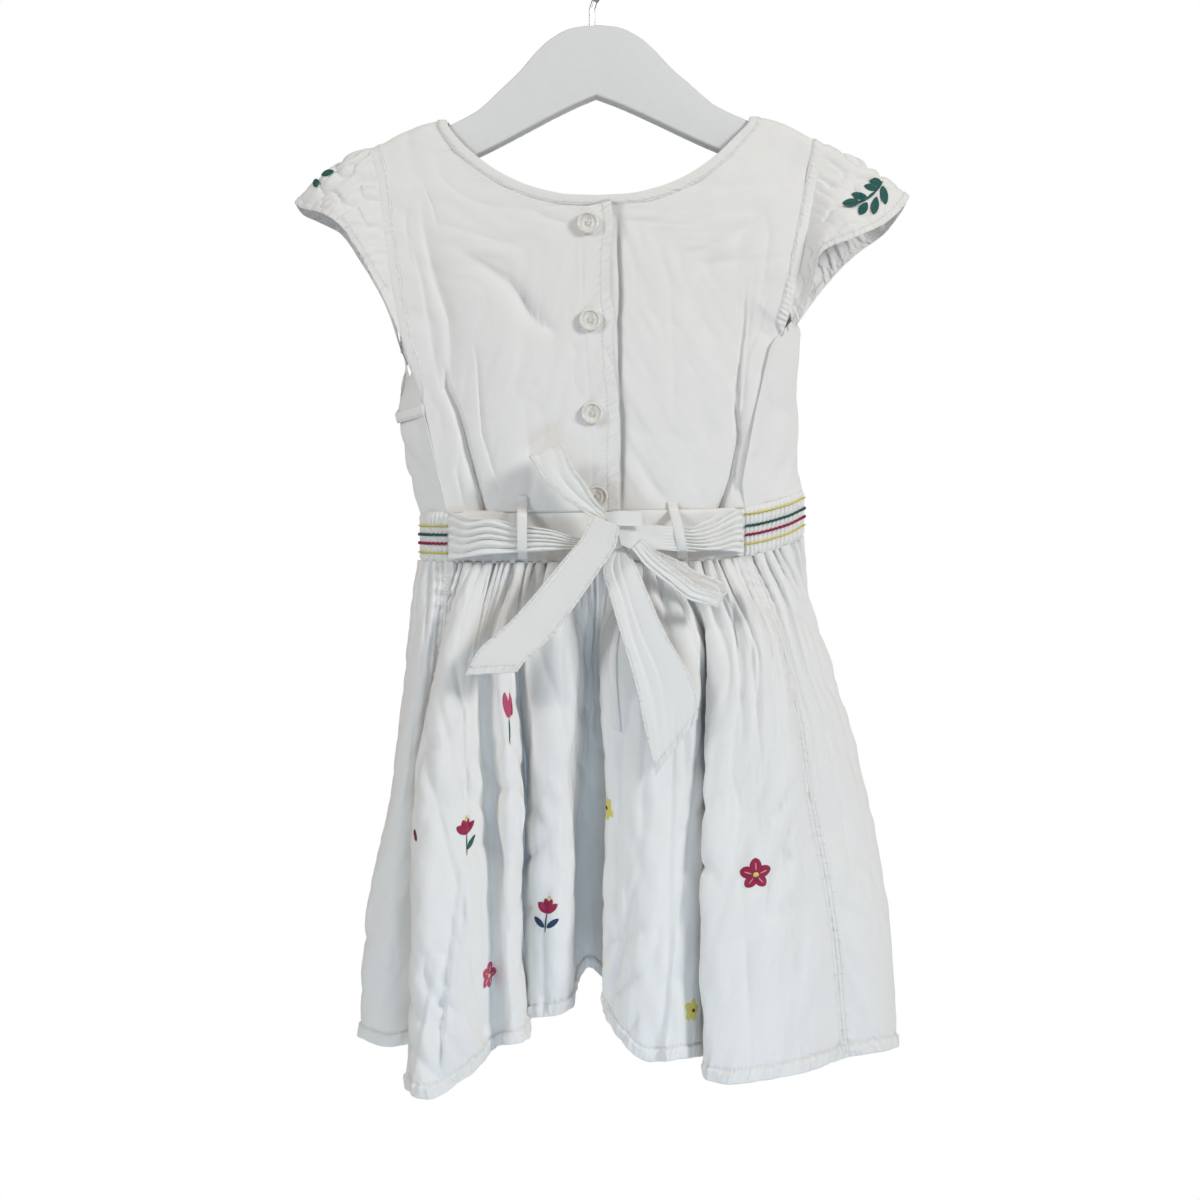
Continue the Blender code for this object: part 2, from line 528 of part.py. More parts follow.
def seated_on_waist(grid):
    """Sets the last row's drops to the waistband's top edge under each point."""
    ring = waist_ring(FINE, FINE)
    for point in grid[-1]:
        nearest = np.argmin((ring[:, 0] - point[0]) ** 2 + (ring[:, 1] - point[1]) ** 2)
        point[2] = ring[nearest, 2]
    return grid


def crowned(grid):
    """Bows the shoulder rows up between neck and armhole."""
    rise = np.interp(BODICE_ROWS_AT, range(len(SHOULDER_CROWN) + 1), SHOULDER_CROWN + (0.0,))
    share = (grid[..., 0] - grid[:, :1, 0]) / (grid[:, -1:, 0] - grid[:, :1, 0])
    grid[..., 2] -= rise[:, None] * np.sin(math.pi * np.clip(share, 0, 1) ** 0.8)
    return grid


def back_grid(rows):
    """A back panel: each row runs straight-backed from its inner end, then curves to the side."""
    rows = np.asarray(rows, float)
    inner, outer = rows[:, :3], rows[:, 3:]
    middle = (inner + outer) / 2
    middle[:, 1] = inner[:, 1] * 0.93 + outer[:, 1] * 0.07
    middle[:3, 1] = inner[:3, 1]
    across = smooth((0, 0.5, 1), np.stack([inner, middle, outer]), np.linspace(0, 1, FINE))
    columns = even_columns(across.transpose(1, 0, 2), rows)
    grid = smooth(range(len(rows)), columns, BODICE_ROWS_AT)
    grid[..., 1] += fold_depth(grid, BACK_FOLDS) * np.clip(-grid[..., 1] / 14, 0, 1)
    return seated_on_waist(crowned(grid))


def front_half(rows):
    """Half the front: each row bends round its side, and wraps on to the outer end."""
    rows = np.asarray(rows, float)
    inner, side, outer = rows[:, :3], rows[:, 3:6], rows[:, 6:]
    bends = []
    for along, deep in FRONT_BEND:
        bend = side + (inner - side) * along
        bend[:, 1] = side[:, 1] + (inner[:, 1] - side[:, 1]) * deep
        bends.append(bend)
    across = smooth(FRONT_BEND_AT, np.stack(bends + [outer]), np.linspace(0, 1, FINE))
    columns = even_columns(across.transpose(1, 0, 2), rows)
    grid = smooth(range(len(rows)), columns, BODICE_ROWS_AT)
    grid[..., 1] -= fold_depth(grid, FRONT_FOLDS) * np.clip(grid[..., 1] / 14, 0, 1)
    return seated_on_waist(crowned(grid))


def bodice_panels():
    """Outer grids and normals of the four bodice quarters, seams shared."""
    panels = {
        "back_left": back_grid(BACK_LEFT_ROWS), "back_right": back_grid(BACK_RIGHT_ROWS),
        "front_left": front_half(FRONT_LEFT_ROWS), "front_right": front_half(FRONT_RIGHT_ROWS),
    }
    found = {}
    seam_row = BODICE_ROWS_AT.index(SIDE_SEAM_ROW)
    for side in ("left", "right"):
        panels["front_" + side][seam_row:, -1] = panels["back_" + side][seam_row:, -1]
    for name, grid in panels.items():
        facing = np.array([0.0, -1.0 if name.startswith("back") else 1.0, 0.0])
        lean = normals(grid, facing)
        lean[0, :, 1] = 0
        lean[0] = unit(lean[0]) * np.sign(-lean[0, :, 2:3])
        found[name] = lean
    for side in ("left", "right"):
        front, back = found["front_" + side], found["back_" + side]
        shared = unit(front[seam_row:, -1] + back[seam_row:, -1])
        front[seam_row:, -1] = shared
        back[seam_row:, -1] = shared
    return panels, found


def build_bodice(collection):
    """Two back panels, buttoned left over right, and one front that wraps both sides."""
    panels, lean = bodice_panels()
    for name in panels:
        panels[name] = pull_in_ends(panels[name], 0, SEAM_GAP / 2)
    inner = {name: panels[name] - lean[name] * WALL for name in panels}
    for side in ("left", "right"):
        name = "back_" + side
        wall_piece("bodice_" + name, panels[name], inner[name], COTTON, collection)
    halves = [np.concatenate([source["front_left"][:, ::-1], source["front_right"]], axis=1)
              for source in (panels, inner)]
    neck_rows = BODICE_ROWS_AT.index(NECK_ROW)
    holes = [(row, PANEL_COLUMNS - 1) for row in range(neck_rows)]
    wall_piece("bodice_front", *halves, COTTON, collection, holes=holes)
    return panels, lean


def band_piece(name, edge, edge_lean, inset, inset_lean, collection):
    """A band that lies on a panel between two of its own lines of points, moved out."""
    lean = unit(np.stack([edge_lean * 2 + inset_lean, edge_lean + inset_lean * 2]))
    under = np.stack([edge, inset]) + lean * SEAM_GAP
    wall_piece(name, under + lean * BAND_WALL, under, COTTON, collection)


def build_bands(panels, lean, collection):
    """One neck binding from back edge to back edge, and a band round each armhole."""
    rows = BODICE_ROWS_AT.index(NECK_ROW) + 1
    order = (("back_left", -1), ("front_left", 1), ("front_right", -1), ("back_right", 1))

    def along(source, column):
        """One column of every panel, joined from back edge to back edge."""
        lines = []
        for number, (name, step) in enumerate(order):
            line = source[name][:rows, column].copy()
            if column:
                line[-1] = source[name][BELOW_NECK_ROW, 0]
            lines.append(line[::step][1:] if number in (1, 3) else line[::step])
        return np.concatenate(lines)

    band_piece("neck_binding", along(panels, 0), along(lean, 0), along(panels, 1), along(lean, 1),
               collection)
    rows = BODICE_ROWS_AT.index(SIDE_SEAM_ROW) + 1
    for side in ("left", "right"):
        lines = []
        for source in (panels, lean):
            for column in (-1, -2):
                back, front = source["back_" + side], source["front_" + side]
                lines.append(np.concatenate([back[:rows, column][::-1], front[1:rows, column]]))
        band_piece("armhole_band_" + side, lines[0], lines[2], lines[1], lines[3], collection)


# ================================================================ sleeves
def build_sleeve(name, table, collection):
    """A flutter sleeve: cloth puffs between armhole and hem, and gathers at the crown."""
    table = np.asarray(table, float)
    stations = np.linspace(0, len(table) - 1, SLEEVE_COLUMNS)
    rows = smooth(range(len(table)), table, stations)
    armhole, hem, puff = rows[:, :3], rows[:, 3:6], rows[:, 6]
    side = np.sign(armhole[:, :1].mean())
    outwards = unit(np.stack([np.full(len(rows), side * 0.55),
                              np.clip(armhole[:, 1] / 9, -1, 1) * 0.8,
                              -1.0 + np.abs(np.clip(armhole[:, 1] / 11, -1, 1)) * 0.75], -1))
    crown = np.exp(-((stations - stations[-1] / 2) / SLEEVE_CROWN) ** 2)
    wave = np.cos(np.linspace(0, 2 * math.pi * SLEEVE_GATHERS, SLEEVE_COLUMNS))
    layers = []
    for share in SLEEVE_ROWS_AT:
        rise = puff * math.sin(math.pi * share) ** 0.8 if 0 < share < 1 else 0
        gather = SLEEVE_GATHER_RISE * wave * crown * (1 - share) ** 0.7 * min(share * 8, 1)
        flutter = SLEEVE_FLUTTER[0] * np.sin(stations * SLEEVE_FLUTTER[1]) * share * np.clip(puff / 5, 0, 1)
        point = armhole + (hem - armhole) * share
        layers.append(point + outwards * (rise + gather + flutter)[:, None])
    grid = np.stack(layers)
    lean = normals(grid, np.broadcast_to(outwards, grid.shape))
    wall_piece(name, grid, grid - lean * WALL, COTTON, collection)


# ================================================================ waist and skirt
def waist_path(first, last, count):
    """Points of the waist ring between two of its named rows, evenly spaced."""
    ring = np.asarray(WAIST_RING, float)
    run = lengths_along(ring[:, :2])
    return smooth(run, ring, np.linspace(run[first], run[last], count))


def waist_ring(back_spans, front_spans):
    """The whole waist ring, from the left seam round the back, without its last point."""
    back = waist_path(0, WAIST_RIGHT_SEAM, back_spans + 1)
    front = waist_path(WAIST_RIGHT_SEAM, len(WAIST_RING) - 1, front_spans + 1)
    return np.concatenate([back[:-1], front[:-1]])


def build_waistbands(collection):
    """A plain band across the back, and a smocked one that wraps the front."""
    back_spans = WAISTBAND_BACK_SPANS
    front_spans = SMOCKING_RIBS * 2
    ring = waist_ring(back_spans, front_spans)
    heights = np.linspace(0, 1, len(SMOCKING_PINCH))
    top, bottom = ring[:, 2] + SEAM_GAP, ring[:, 3] - SEAM_GAP
    rows = np.stack([np.column_stack([ring[:, :2], top + (bottom - top) * share]) for share in heights])
    facing = (rows - WAIST_MIDDLE) * (1, 1, 0)
    lean = normals(rows, facing, ring=True)
    lean[..., 2] = 0
    lean = unit(lean)
    inner = rows - lean * WALL
    back = slice(0, back_spans + 1)
    wall_piece("waistband_back", pull_in_ends(rows[:, back], SEAM_GAP / 2, SEAM_GAP / 2),
               pull_in_ends(inner[:, back], SEAM_GAP / 2, SEAM_GAP / 2), COTTON, collection)
    front = list(range(back_spans, back_spans + front_spans)) + [0]
    rib = np.arange(front_spans + 1) % 2
    rise = SMOCKING_RISE * rib[None, :] * np.array(SMOCKING_PINCH)[:, None]
    outer = rows[:, front] + lean[:, front] * rise[..., None]
    wall_piece("waistband_front", pull_in_ends(outer, SEAM_GAP / 2, SEAM_GAP / 2),
               pull_in_ends(inner[:, front], SEAM_GAP / 2, SEAM_GAP / 2), SMOCKED, collection)


def share_out(lengths, total):
    """Splits a number of columns over spans by their length, two at least for each."""
    wanted = np.maximum(2, lengths / lengths.sum() * total)
    counts = np.maximum(2, np.floor(wanted)).astype(int)
    while counts.sum() != total:
        step = 1 if counts.sum() < total else -1
        score = (wanted - counts) * step
        score[(counts <= 2) & (step < 0)] = -np.inf
        counts[np.argmax(score)] += step
    return counts


def fold_columns(lines, spans):
    """Columns of x at four levels, y at four levels and hem drop, and each line's column."""
    values = np.array([row[1:] for row in lines], float)
    level_runs = np.stack([np.linalg.norm(np.diff(values[:, [k, 4 + k]], axis=0), axis=1)
                           for k in (1, 3)])
    counts = share_out(level_runs.mean(axis=0), spans)
    at = np.concatenate([np.linspace(k, k + 1, counts[k], endpoint=False) for k in range(len(counts))]
                        + [[len(counts)]])
    names = [row[0] for row in lines]
    starts = np.concatenate([[0], np.cumsum(counts)])
    return smooth(range(len(lines)), values, at), dict(zip(names, starts))


def skirt_grid():
    """The whole skirt as one ring of columns; rows run from the waist to the hem."""
    back, back_index = fold_columns(BACK_FOLD_LINES, BACK_SPANS)
    front, _ = fold_columns(FRONT_FOLD_LINES, FRONT_SPANS)
    columns = np.concatenate([back[:-1], front[:-1]])
    ring = waist_ring(BACK_SPANS, FRONT_SPANS)
    shares = np.array(SKIRT_ROW_SHARES)
    grid = np.zeros((len(shares), len(columns), 3))
    for index, (column, waist) in enumerate(zip(columns, ring)):
        top = waist[3] + SEAM_GAP
        drops = top + (column[8] - top) * shares
        knots = (top,) + SKIRT_LEVELS + (column[8],)
        places = np.column_stack([np.concatenate([waist[:1], column[:4]]),
                                  np.concatenate([waist[1:2], column[4:8]])])
        grid[:, index, :2] = smooth(knots, places, drops)
        grid[:, index, 2] = drops
    return grid, back_index


def gathered(grid):
    """Adds the waist gathers: a wave round the ring that fades down the skirt."""
    facing = (grid - WAIST_MIDDLE) * (1, 1, 0)
    lean = normals(grid, facing, ring=True)
    column = np.arange(grid.shape[1])
    uneven = 1 + sum(share * np.sin(column * turn + start) for share, turn, start in GATHER_UNEVEN)
    wave = np.sin(column * 2 * math.pi / GATHER_SPANS + 0.8) * uneven
    below = grid[..., 2] - grid[:1, :, 2]
    fade = np.exp(-below / GATHER_LENGTH)
    moved = grid + lean * (GATHER_RISE * wave * fade)[..., None] * (1, 1, 0)
    return moved, normals(moved, facing, ring=True)


def build_skirt(collection):
    """Front and back skirt, split at the side seams, and the placket's strip."""
    grid, index = skirt_grid()
    outer, lean = gathered(grid)
    lean[0, :, 2] = 0
    lean[-1, :, 2] = 0
    lean = unit(lean)
    inner = outer - lean * WALL * mitre(outer, ring=True)
    half = SEAM_GAP / 2
    back = list(range(BACK_SPANS + 1))
    front = list(range(BACK_SPANS, BACK_SPANS + FRONT_SPANS)) + [0]
    for name, picked in (("skirt_back", back), ("skirt_front", front)):
        wall_piece(name, pull_in_ends(outer[:, picked], half, half),
                   pull_in_ends(inner[:, picked], half, half), COTTON, collection)
    start = index["f edge"]
    rows = slice(*PLACKET_ROWS)
    under = outer[rows, start:start + 2] + lean[rows, start:start + 2] * SEAM_GAP * 1.5
    wall_piece("placket", under + lean[rows, start:start + 2] * BAND_WALL, under, COTTON, collection)


# ================================================================ sash
def ribbon(name, sections, collection, waves=CREASE_WAVES, along=2):
    """A ribbon between two edges, creased lengthwise; each section names its own depth."""
    sections = np.asarray(sections, float)
    at = np.linspace(0, len(sections) - 1, (len(sections) - 1) * along + 1)
    rows = smooth(range(len(sections)), sections, at)
    first = np.column_stack([rows[:, 0], rows[:, 4], rows[:, 1]])
    second = np.column_stack([rows[:, 2], rows[:, 4], rows[:, 3]])
    share = np.linspace(0, 1, SASH_COLUMNS)[None, :, None]
    grid = first[:, None] + (second - first)[:, None] * share
    phase = np.linspace(0, 0.9, len(rows))[:, None]
    crease = np.cos(2 * math.pi * (share[..., 0] * waves + phase * 0.3))
    grid[..., 1] -= rows[:, 5:6] * crease
    lean = normals(grid, np.array([0.0, -1.0, 0.0]))
    half = SASH_WALL / 2
    wall_piece(name, grid + lean * half, grid - lean * half, COTTON, collection)


def loop_ribbon(name, sections, collection, along=2):
    """A bow's loop: out along the near half, round the end, and back along the far half."""
    sections = np.asarray(sections, float)
    at = np.linspace(0, len(sections) - 1, (len(sections) - 1) * along + 1)
    rows = smooth(range(len(sections)), sections, at)
    outgoing = rows[-1, :2] + rows[-1, 2:4] - rows[0, :2] - rows[0, 2:4]
    outgoing = outgoing / np.linalg.norm(outgoing)
    near = np.column_stack([rows[:, :4], rows[:, 4]])
    far = np.column_stack([rows[:, :4], rows[:, 5]])[::-1]
    reach = abs(rows[-1, 5] - rows[-1, 4]) / 2
    turn = []
    for angle in np.radians(LOOP_TURN):
        section = near[-1].copy()
        section[:4] += np.tile(outgoing, 2) * math.sin(angle) * reach
        section[4] = (near[-1, 4] + far[0, 4]) / 2 - math.cos(angle) * reach
        turn.append(section)
    path = np.concatenate([near, np.array(turn), far])
    first = np.column_stack([path[:, 0], path[:, 4], path[:, 1]])
    second = np.column_stack([path[:, 2], path[:, 4], path[:, 3]])
    share = np.linspace(0, 1, LOOP_COLUMNS)[None, :, None]
    grid = first[:, None] + (second - first)[:, None] * share
    lean = normals(grid, np.array([0.0, -1.0, 0.0]))
    if lean[0, LOOP_COLUMNS // 2, 1] > 0:
        lean = -lean
    half = LOOP_WALL / 2
    wall_piece(name, grid + lean * half, grid - lean * half, COTTON, collection)


def build_knot(collection):
    """The bow's knot: a round lump, waisted where the cloth is drawn tight across it."""
    shape = bmesh.new()
    bmesh.ops.create_uvsphere(shape, u_segments=12, v_segments=8, radius=1.0)
    for vertex in shape.verts:
        pinch = 1 - KNOT_PINCH * math.exp(-((vertex.co.x + vertex.co.z) / 0.35) ** 2)
        place = [KNOT_MIDDLE[0] + vertex.co.x * KNOT_HALF[0] * pinch,
                 KNOT_MIDDLE[1] + vertex.co.y * KNOT_HALF[1] * pinch,
                 KNOT_MIDDLE[2] - vertex.co.z * KNOT_HALF[2] * pinch]
        vertex.co = to_world(place)
    mesh = bpy.data.meshes.new("sash_knot")
    bmesh.ops.recalc_face_normals(shape, faces=shape.faces)
    shape.to_mesh(mesh)
    shape.free()
    mesh.shade_smooth()
    add_object("sash_knot", mesh, COTTON, collection)


def build_sash(collection):
    """The runs from the side seams, the knot, two loops and two tails."""
    ribbon("sash_run_left", SASH_RUN_LEFT, collection, waves=3)
    ribbon("sash_run_right", SASH_RUN_RIGHT, collection, waves=3)
    ribbon("sash_tail_left", SASH_TAIL_LEFT, collection, waves=1)
    ribbon("sash_tail_right", SASH_TAIL_RIGHT, collection)
    ribbon("sash_flap", SASH_FLAP, collection, waves=1)
    loop_ribbon("bow_loop_upper", BOW_LOOP_UPPER, collection)
    loop_ribbon("bow_loop_lower", BOW_LOOP_LOWER, collection)
    build_knot(collection)


def depth_at(panel, x, drop):
    """Depth y of a panel's outer grid below a point, and its normal there."""
    grid, lean = panel
    away = (grid[..., 0] - x) ** 2 + (grid[..., 2] - drop) ** 2
    nearest = np.argsort(away, axis=None)[:4]
    weight = 1 / (away.ravel()[nearest] + 1e-3)
    weight = weight / weight.sum()
    return weight @ grid[..., 1].ravel()[nearest], unit(weight @ lean.reshape(-1, 3)[nearest])


def build_belt_loops(panels, lean, collection):
    """Two narrow loops, sewn to the bodice above the sash and to the skirt's top below."""
    for name, (top_x, top_drop, low_x, low_drop, reach) in BELT_LOOPS.items():
        side = "back_left" if top_x < 0 else "back_right"
        base = min(depth_at((panels[side], lean[side]), top_x + edge, top_drop)[0]
                   for edge in (-BELT_LOOP_WIDTH, BELT_LOOP_WIDTH))
        shares, stands = np.array(BELT_LOOP_STAND).T
        at = np.linspace(0, 1, 9)
        stand = smooth(shares, stands, at) * reach
        x = top_x + (low_x - top_x) * at
        band = waist_path(0, WAIST_RIGHT_SEAM, 60)
        low = np.interp(low_x, band[:, 0], band[:, 1])
        y = base + (low - base) * at - SEAM_GAP * 2 - BELT_LOOP_WALL / 2 - stand
        line = np.column_stack([x, y, top_drop + (low_drop - top_drop) * at])
        half_width = np.array([BELT_LOOP_WIDTH / 2, 0, 0])
        grid = np.stack([line - half_width, line + half_width], axis=1)
        facing = normals(grid, np.array([0.0, -1.0, 0.0])) * BELT_LOOP_WALL / 2
        wall_piece(name, grid + facing, grid - facing, COTTON, collection)


def build_buttons(panels, lean, collection):
    """Four round buttons on the left back: raised rim, dished face, low underside."""
    radius, thick = BUTTON_RADIUS, BUTTON_THICK
    profile = ((0, thick * 0.62), (radius * 0.6, thick * 0.62), (radius * 0.8, thick),
               (radius, thick * 0.6), (radius * 0.8, 0.0), (0, 0.0))
    for number, (x, drop) in enumerate(BUTTONS, start=1):
        mesh = bpy.data.meshes.new("button_profile")
        points = [(along / 1000, 0, up / 1000) for along, up in profile]
        mesh.from_pydata(points, [(k, k + 1) for k in range(len(points) - 1)], [])
        button = add_object(f"button_{number}", mesh, PEARL, collection)
        turned = button.modifiers.new("turned", "SCREW")
        turned.steps = turned.render_steps = 16
        turned.use_merge_vertices = True
        turned.merge_threshold = 0.00005
        depth, own = depth_at((panels["back_left"], lean["back_left"]), x, drop)
        slope = math.atan2(-own[2], -own[1])
        seat = to_world((x, depth - BUTTON_STAND, drop))
        button.rotation_euler = (math.pi / 2 - slope, 0, 0)
        button.location = seat


# ================================================================ hanger
def build_board(collection):
    """A flat wooden board: bell-shaped top, straight sloping arms, rounded ends."""
    def run(points, count):
        line = np.asarray(points, float)
        return smooth(lengths_along(line), line, np.linspace(0, lengths_along(line)[-1], count))
    half = np.concatenate([run(BOARD_TOP, 13), BOARD_END, BOARD_BOTTOM[:-1]])
    mirrored = half[1:][::-1] * (-1, 1)
    outline = np.concatenate([half, BOARD_BOTTOM[-1:], mirrored]) - BOARD_TOP[0]
    cosine, sine = math.cos(BOARD_TILT), math.sin(BOARD_TILT)
    turn = np.array([[cosine, -sine], [sine, cosine]])
    outline = outline @ turn + BOARD_TOP[0]
    curve = bpy.data.curves.new("board_outline", "CURVE")
    curve.dimensions = "2D"
    curve.fill_mode = "BOTH"
    curve.extrude = BOARD_THICK / 2000
    line = curve.splines.new("POLY")
    line.points.add(len(outline) - 1)
    for point, (x, drop) in zip(line.points, outline):
        point.co = (x / 1000, -drop / 1000, 0, 1)
    line.use_cyclic_u = True
    guide = bpy.data.objects.new("board_outline", curve)
    collection.objects.link(guide)
    bpy.context.view_layer.update()
    mesh = bpy.data.meshes.new_from_object(guide.evaluated_get(bpy.context.evaluated_depsgraph_get()))
    shape = bmesh.new()
    shape.from_mesh(mesh)
    bmesh.ops.remove_doubles(shape, verts=shape.verts, dist=1e-6)
    bmesh.ops.dissolve_limit(shape, angle_limit=math.radians(1), verts=shape.verts, edges=shape.edges)
    bmesh.ops.recalc_face_normals(shape, faces=shape.faces)
    shape.to_mesh(mesh)
    shape.free()
    bpy.data.objects.remove(guide)
    board = add_object("hanger_board", mesh, PAINTED_WOOD, collection)
    board.rotation_euler = (math.pi / 2, 0, 0)
    board.location = to_world((0, 0, 0))
    eased = board.modifiers.new("eased", "BEVEL")
    eased.width = BOARD_EDGE / 1000
    eased.segments = 2
    eased.limit_method = "ANGLE"
    eased.angle_limit = math.radians(60)
    return board


def build_hook_seat(board, guides):
    """The blind hole in the board's top that the hook's wire is driven into."""
    bpy.ops.mesh.primitive_cylinder_add(vertices=12, radius=HOOK_SEAT_RADIUS / 1000,
                                        depth=HOOK_SEAT_DEPTH * 2 / 1000)
    cutter = bpy.context.active_object
    cutter.name = "hook_seat_cutter"
    for owner in list(cutter.users_collection):
        owner.objects.unlink(cutter)
    guides.objects.link(cutter)
    cutter.location = (0, 0, (-NECK_DROP - BOARD_TOP[0][1]) / 1000)
    cutter.hide_render = True
    cutter.display_type = "WIRE"
    cut = board.modifiers.new("hook seat", "BOOLEAN")
    cut.operation = "DIFFERENCE"
    cut.object = cutter


def build_hook(collection):
    """The wire hook: up from the board, out to one side and over the rail."""
    radius = HOOK_INNER_RADIUS + HOOK_WIRE_RADIUS
    centre_z = -HOOK_INNER_RADIUS
    foot_z = -NECK_DROP - BOARD_TOP[0][1] - HOOK_SEAT_DEPTH + SEAM_GAP
    route = [(0, foot_z), (0, -56.0), (0, -48.0), (1.2, -44.0), (5.0, -39.0), (10.5, -33.5),
             (15.4, -27.5)]
    for step in range(15):
        angle = math.radians(-14 + step * 15.5)
        route.append((radius * math.cos(angle), centre_z + radius * math.sin(angle)))
    curve = bpy.data.curves.new("hanger_hook", "CURVE")
    curve.dimensions = "3D"
    curve.bevel_depth = HOOK_WIRE_RADIUS / 1000
    curve.bevel_resolution = 2
    curve.use_fill_caps = True
    line = curve.splines.new("POLY")
    line.points.add(len(route) - 1)
    for point, (x, z) in zip(line.points, route):
        point.co = (x / 1000, 0, z / 1000, 1)
    hook = bpy.data.objects.new("hanger_hook", curve)
    collection.objects.link(hook)
    curve.materials.append(material(STEEL))


def build():
    """Clears the scene and builds the dress on its hanger."""
    for old in list(bpy.data.objects):
        bpy.data.objects.remove(old)
    dress = bpy.data.collections.new("toddler_dress_on_hanger")
    guides = bpy.data.collections.new("cutters")
    for collection in (dress, guides):
        bpy.context.scene.collection.children.link(collection)
    board = build_board(dress)
    build_hook_seat(board, guides)
    build_hook(dress)
    panels, lean = build_bodice(dress)
    build_bands(panels, lean, dress)
    build_sleeve("sleeve_left", LEFT_SLEEVE, dress)
    build_sleeve("sleeve_right", RIGHT_SLEEVE, dress)
    build_waistbands(dress)
    build_skirt(dress)
    build_sash(dress)
    build_belt_loops(panels, lean, dress)
    build_buttons(panels, lean, dress)


build()
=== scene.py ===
"""Looks for a toddler's white cotton dress on its hanger: cloth, gathers, stitching and finishes.

The tables are in millimetres: x across from the dress's middle, y through (minus is the
buttoned back) and drop, measured down from the neck points. A cloth is a grid of points,
rows from its top to its bottom and columns along its width.
"""
import math

import bpy
import numpy as np
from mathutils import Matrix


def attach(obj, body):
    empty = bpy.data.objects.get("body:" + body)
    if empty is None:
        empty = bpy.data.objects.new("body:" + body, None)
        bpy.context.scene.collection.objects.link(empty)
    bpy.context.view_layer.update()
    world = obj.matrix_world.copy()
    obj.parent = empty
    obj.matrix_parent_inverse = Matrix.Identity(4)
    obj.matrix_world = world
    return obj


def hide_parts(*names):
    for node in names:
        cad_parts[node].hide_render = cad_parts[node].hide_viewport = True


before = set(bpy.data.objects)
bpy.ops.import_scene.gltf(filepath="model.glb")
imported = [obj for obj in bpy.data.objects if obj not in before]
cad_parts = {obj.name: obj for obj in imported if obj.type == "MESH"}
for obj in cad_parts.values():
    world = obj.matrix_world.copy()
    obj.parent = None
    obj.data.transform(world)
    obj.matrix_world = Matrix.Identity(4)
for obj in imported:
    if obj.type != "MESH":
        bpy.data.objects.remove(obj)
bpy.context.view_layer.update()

NECK_DROP = 111.0          # neck points below the rail
MIDDLE_X = 1.4             # middle of the dress beside the hook's wire
SEAM_GAP = 0.3
BAND_WIDTH = 6.0
CLOTH = 0.6                # thickness of one cotton cloth as it is shown
THIN_CLOTH = 0.4           # a cloth in a narrow fold: the bands and the strip of the slit
CREASE_FOOT = 0.15         # rounds the bottom of a crease, in shares of its half width
STITCH_LENGTH = 2.4
UNSEWN = 900.0             # a distance from a sewn edge at which none of its stitches show
BACKWARD = np.array([0.0, -1.0, 0.0])
SIDEWAYS, UPRIGHT = np.array([1.0, 0, 0]), np.array([0, 0, 1.0])

# ---------------------------------------------------------------- bodice tables
# Each row: inner x, y, drop, then outer x, y, drop. Row 7 is the neck's foot, row 8 the underarm.
NECK_ROW = 7
SIDE_SEAM_ROW = 8
BACK_LEFT_ROWS = (
    (-81.5, -0.2, 0, -124.5, -0.2, 16.4),
    (-81.2, -5.4, 0.9, -124.2, -5.4, 17.3),
    (-80.4, -7.9, 3.8, -123.8, -7.9, 20.6),
    (-74, -9.6, 12.7, -120, -9.4, 37),
    (-59.5, -13, 25.7, -117.5, -11, 54),
    (-38, -17, 38.2, -114.5, -13, 76.5),
    (-13.5, -20.5, 44.8, -110.5, -14, 101.5),
    (10, -22.5, 46.3, -105.5, -14, 126.5),
    (10.8, -24, 96, -96, -12, 156),
    (14, -25, 158, -88, -14, 189),
    (16.8, -23.6, 219.2, -81, -15, 219.4),
)
BACK_RIGHT_ROWS = (
    (87, -0.2, -1.8, 127.5, -0.2, 13.4),
    (86.7, -5.4, -0.9, 127.2, -5.4, 14.3),
    (86, -7.9, 2, 126.6, -7.9, 17.2),
    (79.5, -9.6, 9.3, 123.2, -9.4, 34),
    (67, -12.5, 21.9, 120.2, -11, 49.5),
    (44.5, -15.5, 36.5, 116.6, -13, 68),
    (19.5, -17.5, 43.7, 112.2, -14, 90),
    (-8, -18.4, 46.2, 107.2, -14, 110),
    (-8, -20.2, 100, 104.5, -11.5, 119),
    (-5.2, -21.4, 161, 92.7, -14, 168),
    (-2.4, -20.4, 219.2, 83, -16, 216.8),
)
# inner x, y, drop, side x, y, drop, outer x, y, drop
FRONT_LEFT_ROWS = (
    (-81.5, 0.2, 0, -114.5, 0.2, 12.6, -124.5, 0.2, 16.4),
    (-81.2, 5.4, 0.9, -114.2, 5.4, 13.5, -124.2, 5.4, 17.3),
    (-80.4, 7.9, 3.8, -113.6, 7.9, 16.6, -123.8, 7.9, 20.6),
    (-76, 10, 13.5, -112, 9.6, 30, -122.5, 9.2, 35),
    (-65, 14, 29.4, -110, 12, 46.8, -120.5, 11, 50),
    (-45.3, 18.5, 43.8, -107.5, 14, 69, -118, 13, 72),
    (-20, 22, 51, -103, 15.5, 95, -112.5, 13, 97.5),
    (-2.5, 23.5, 52.7, -101, 15.5, 119, -109, 11, 123),
    (-2.5, 26.5, 98, -109.8, 1, 163, -96, -12, 156),
    (-2.5, 28, 158, -105, 1, 191, -88, -14, 189),
    (-2.5, 27, 217.2, -97.2, 0, 218.4, -81, -15, 219.4),
)
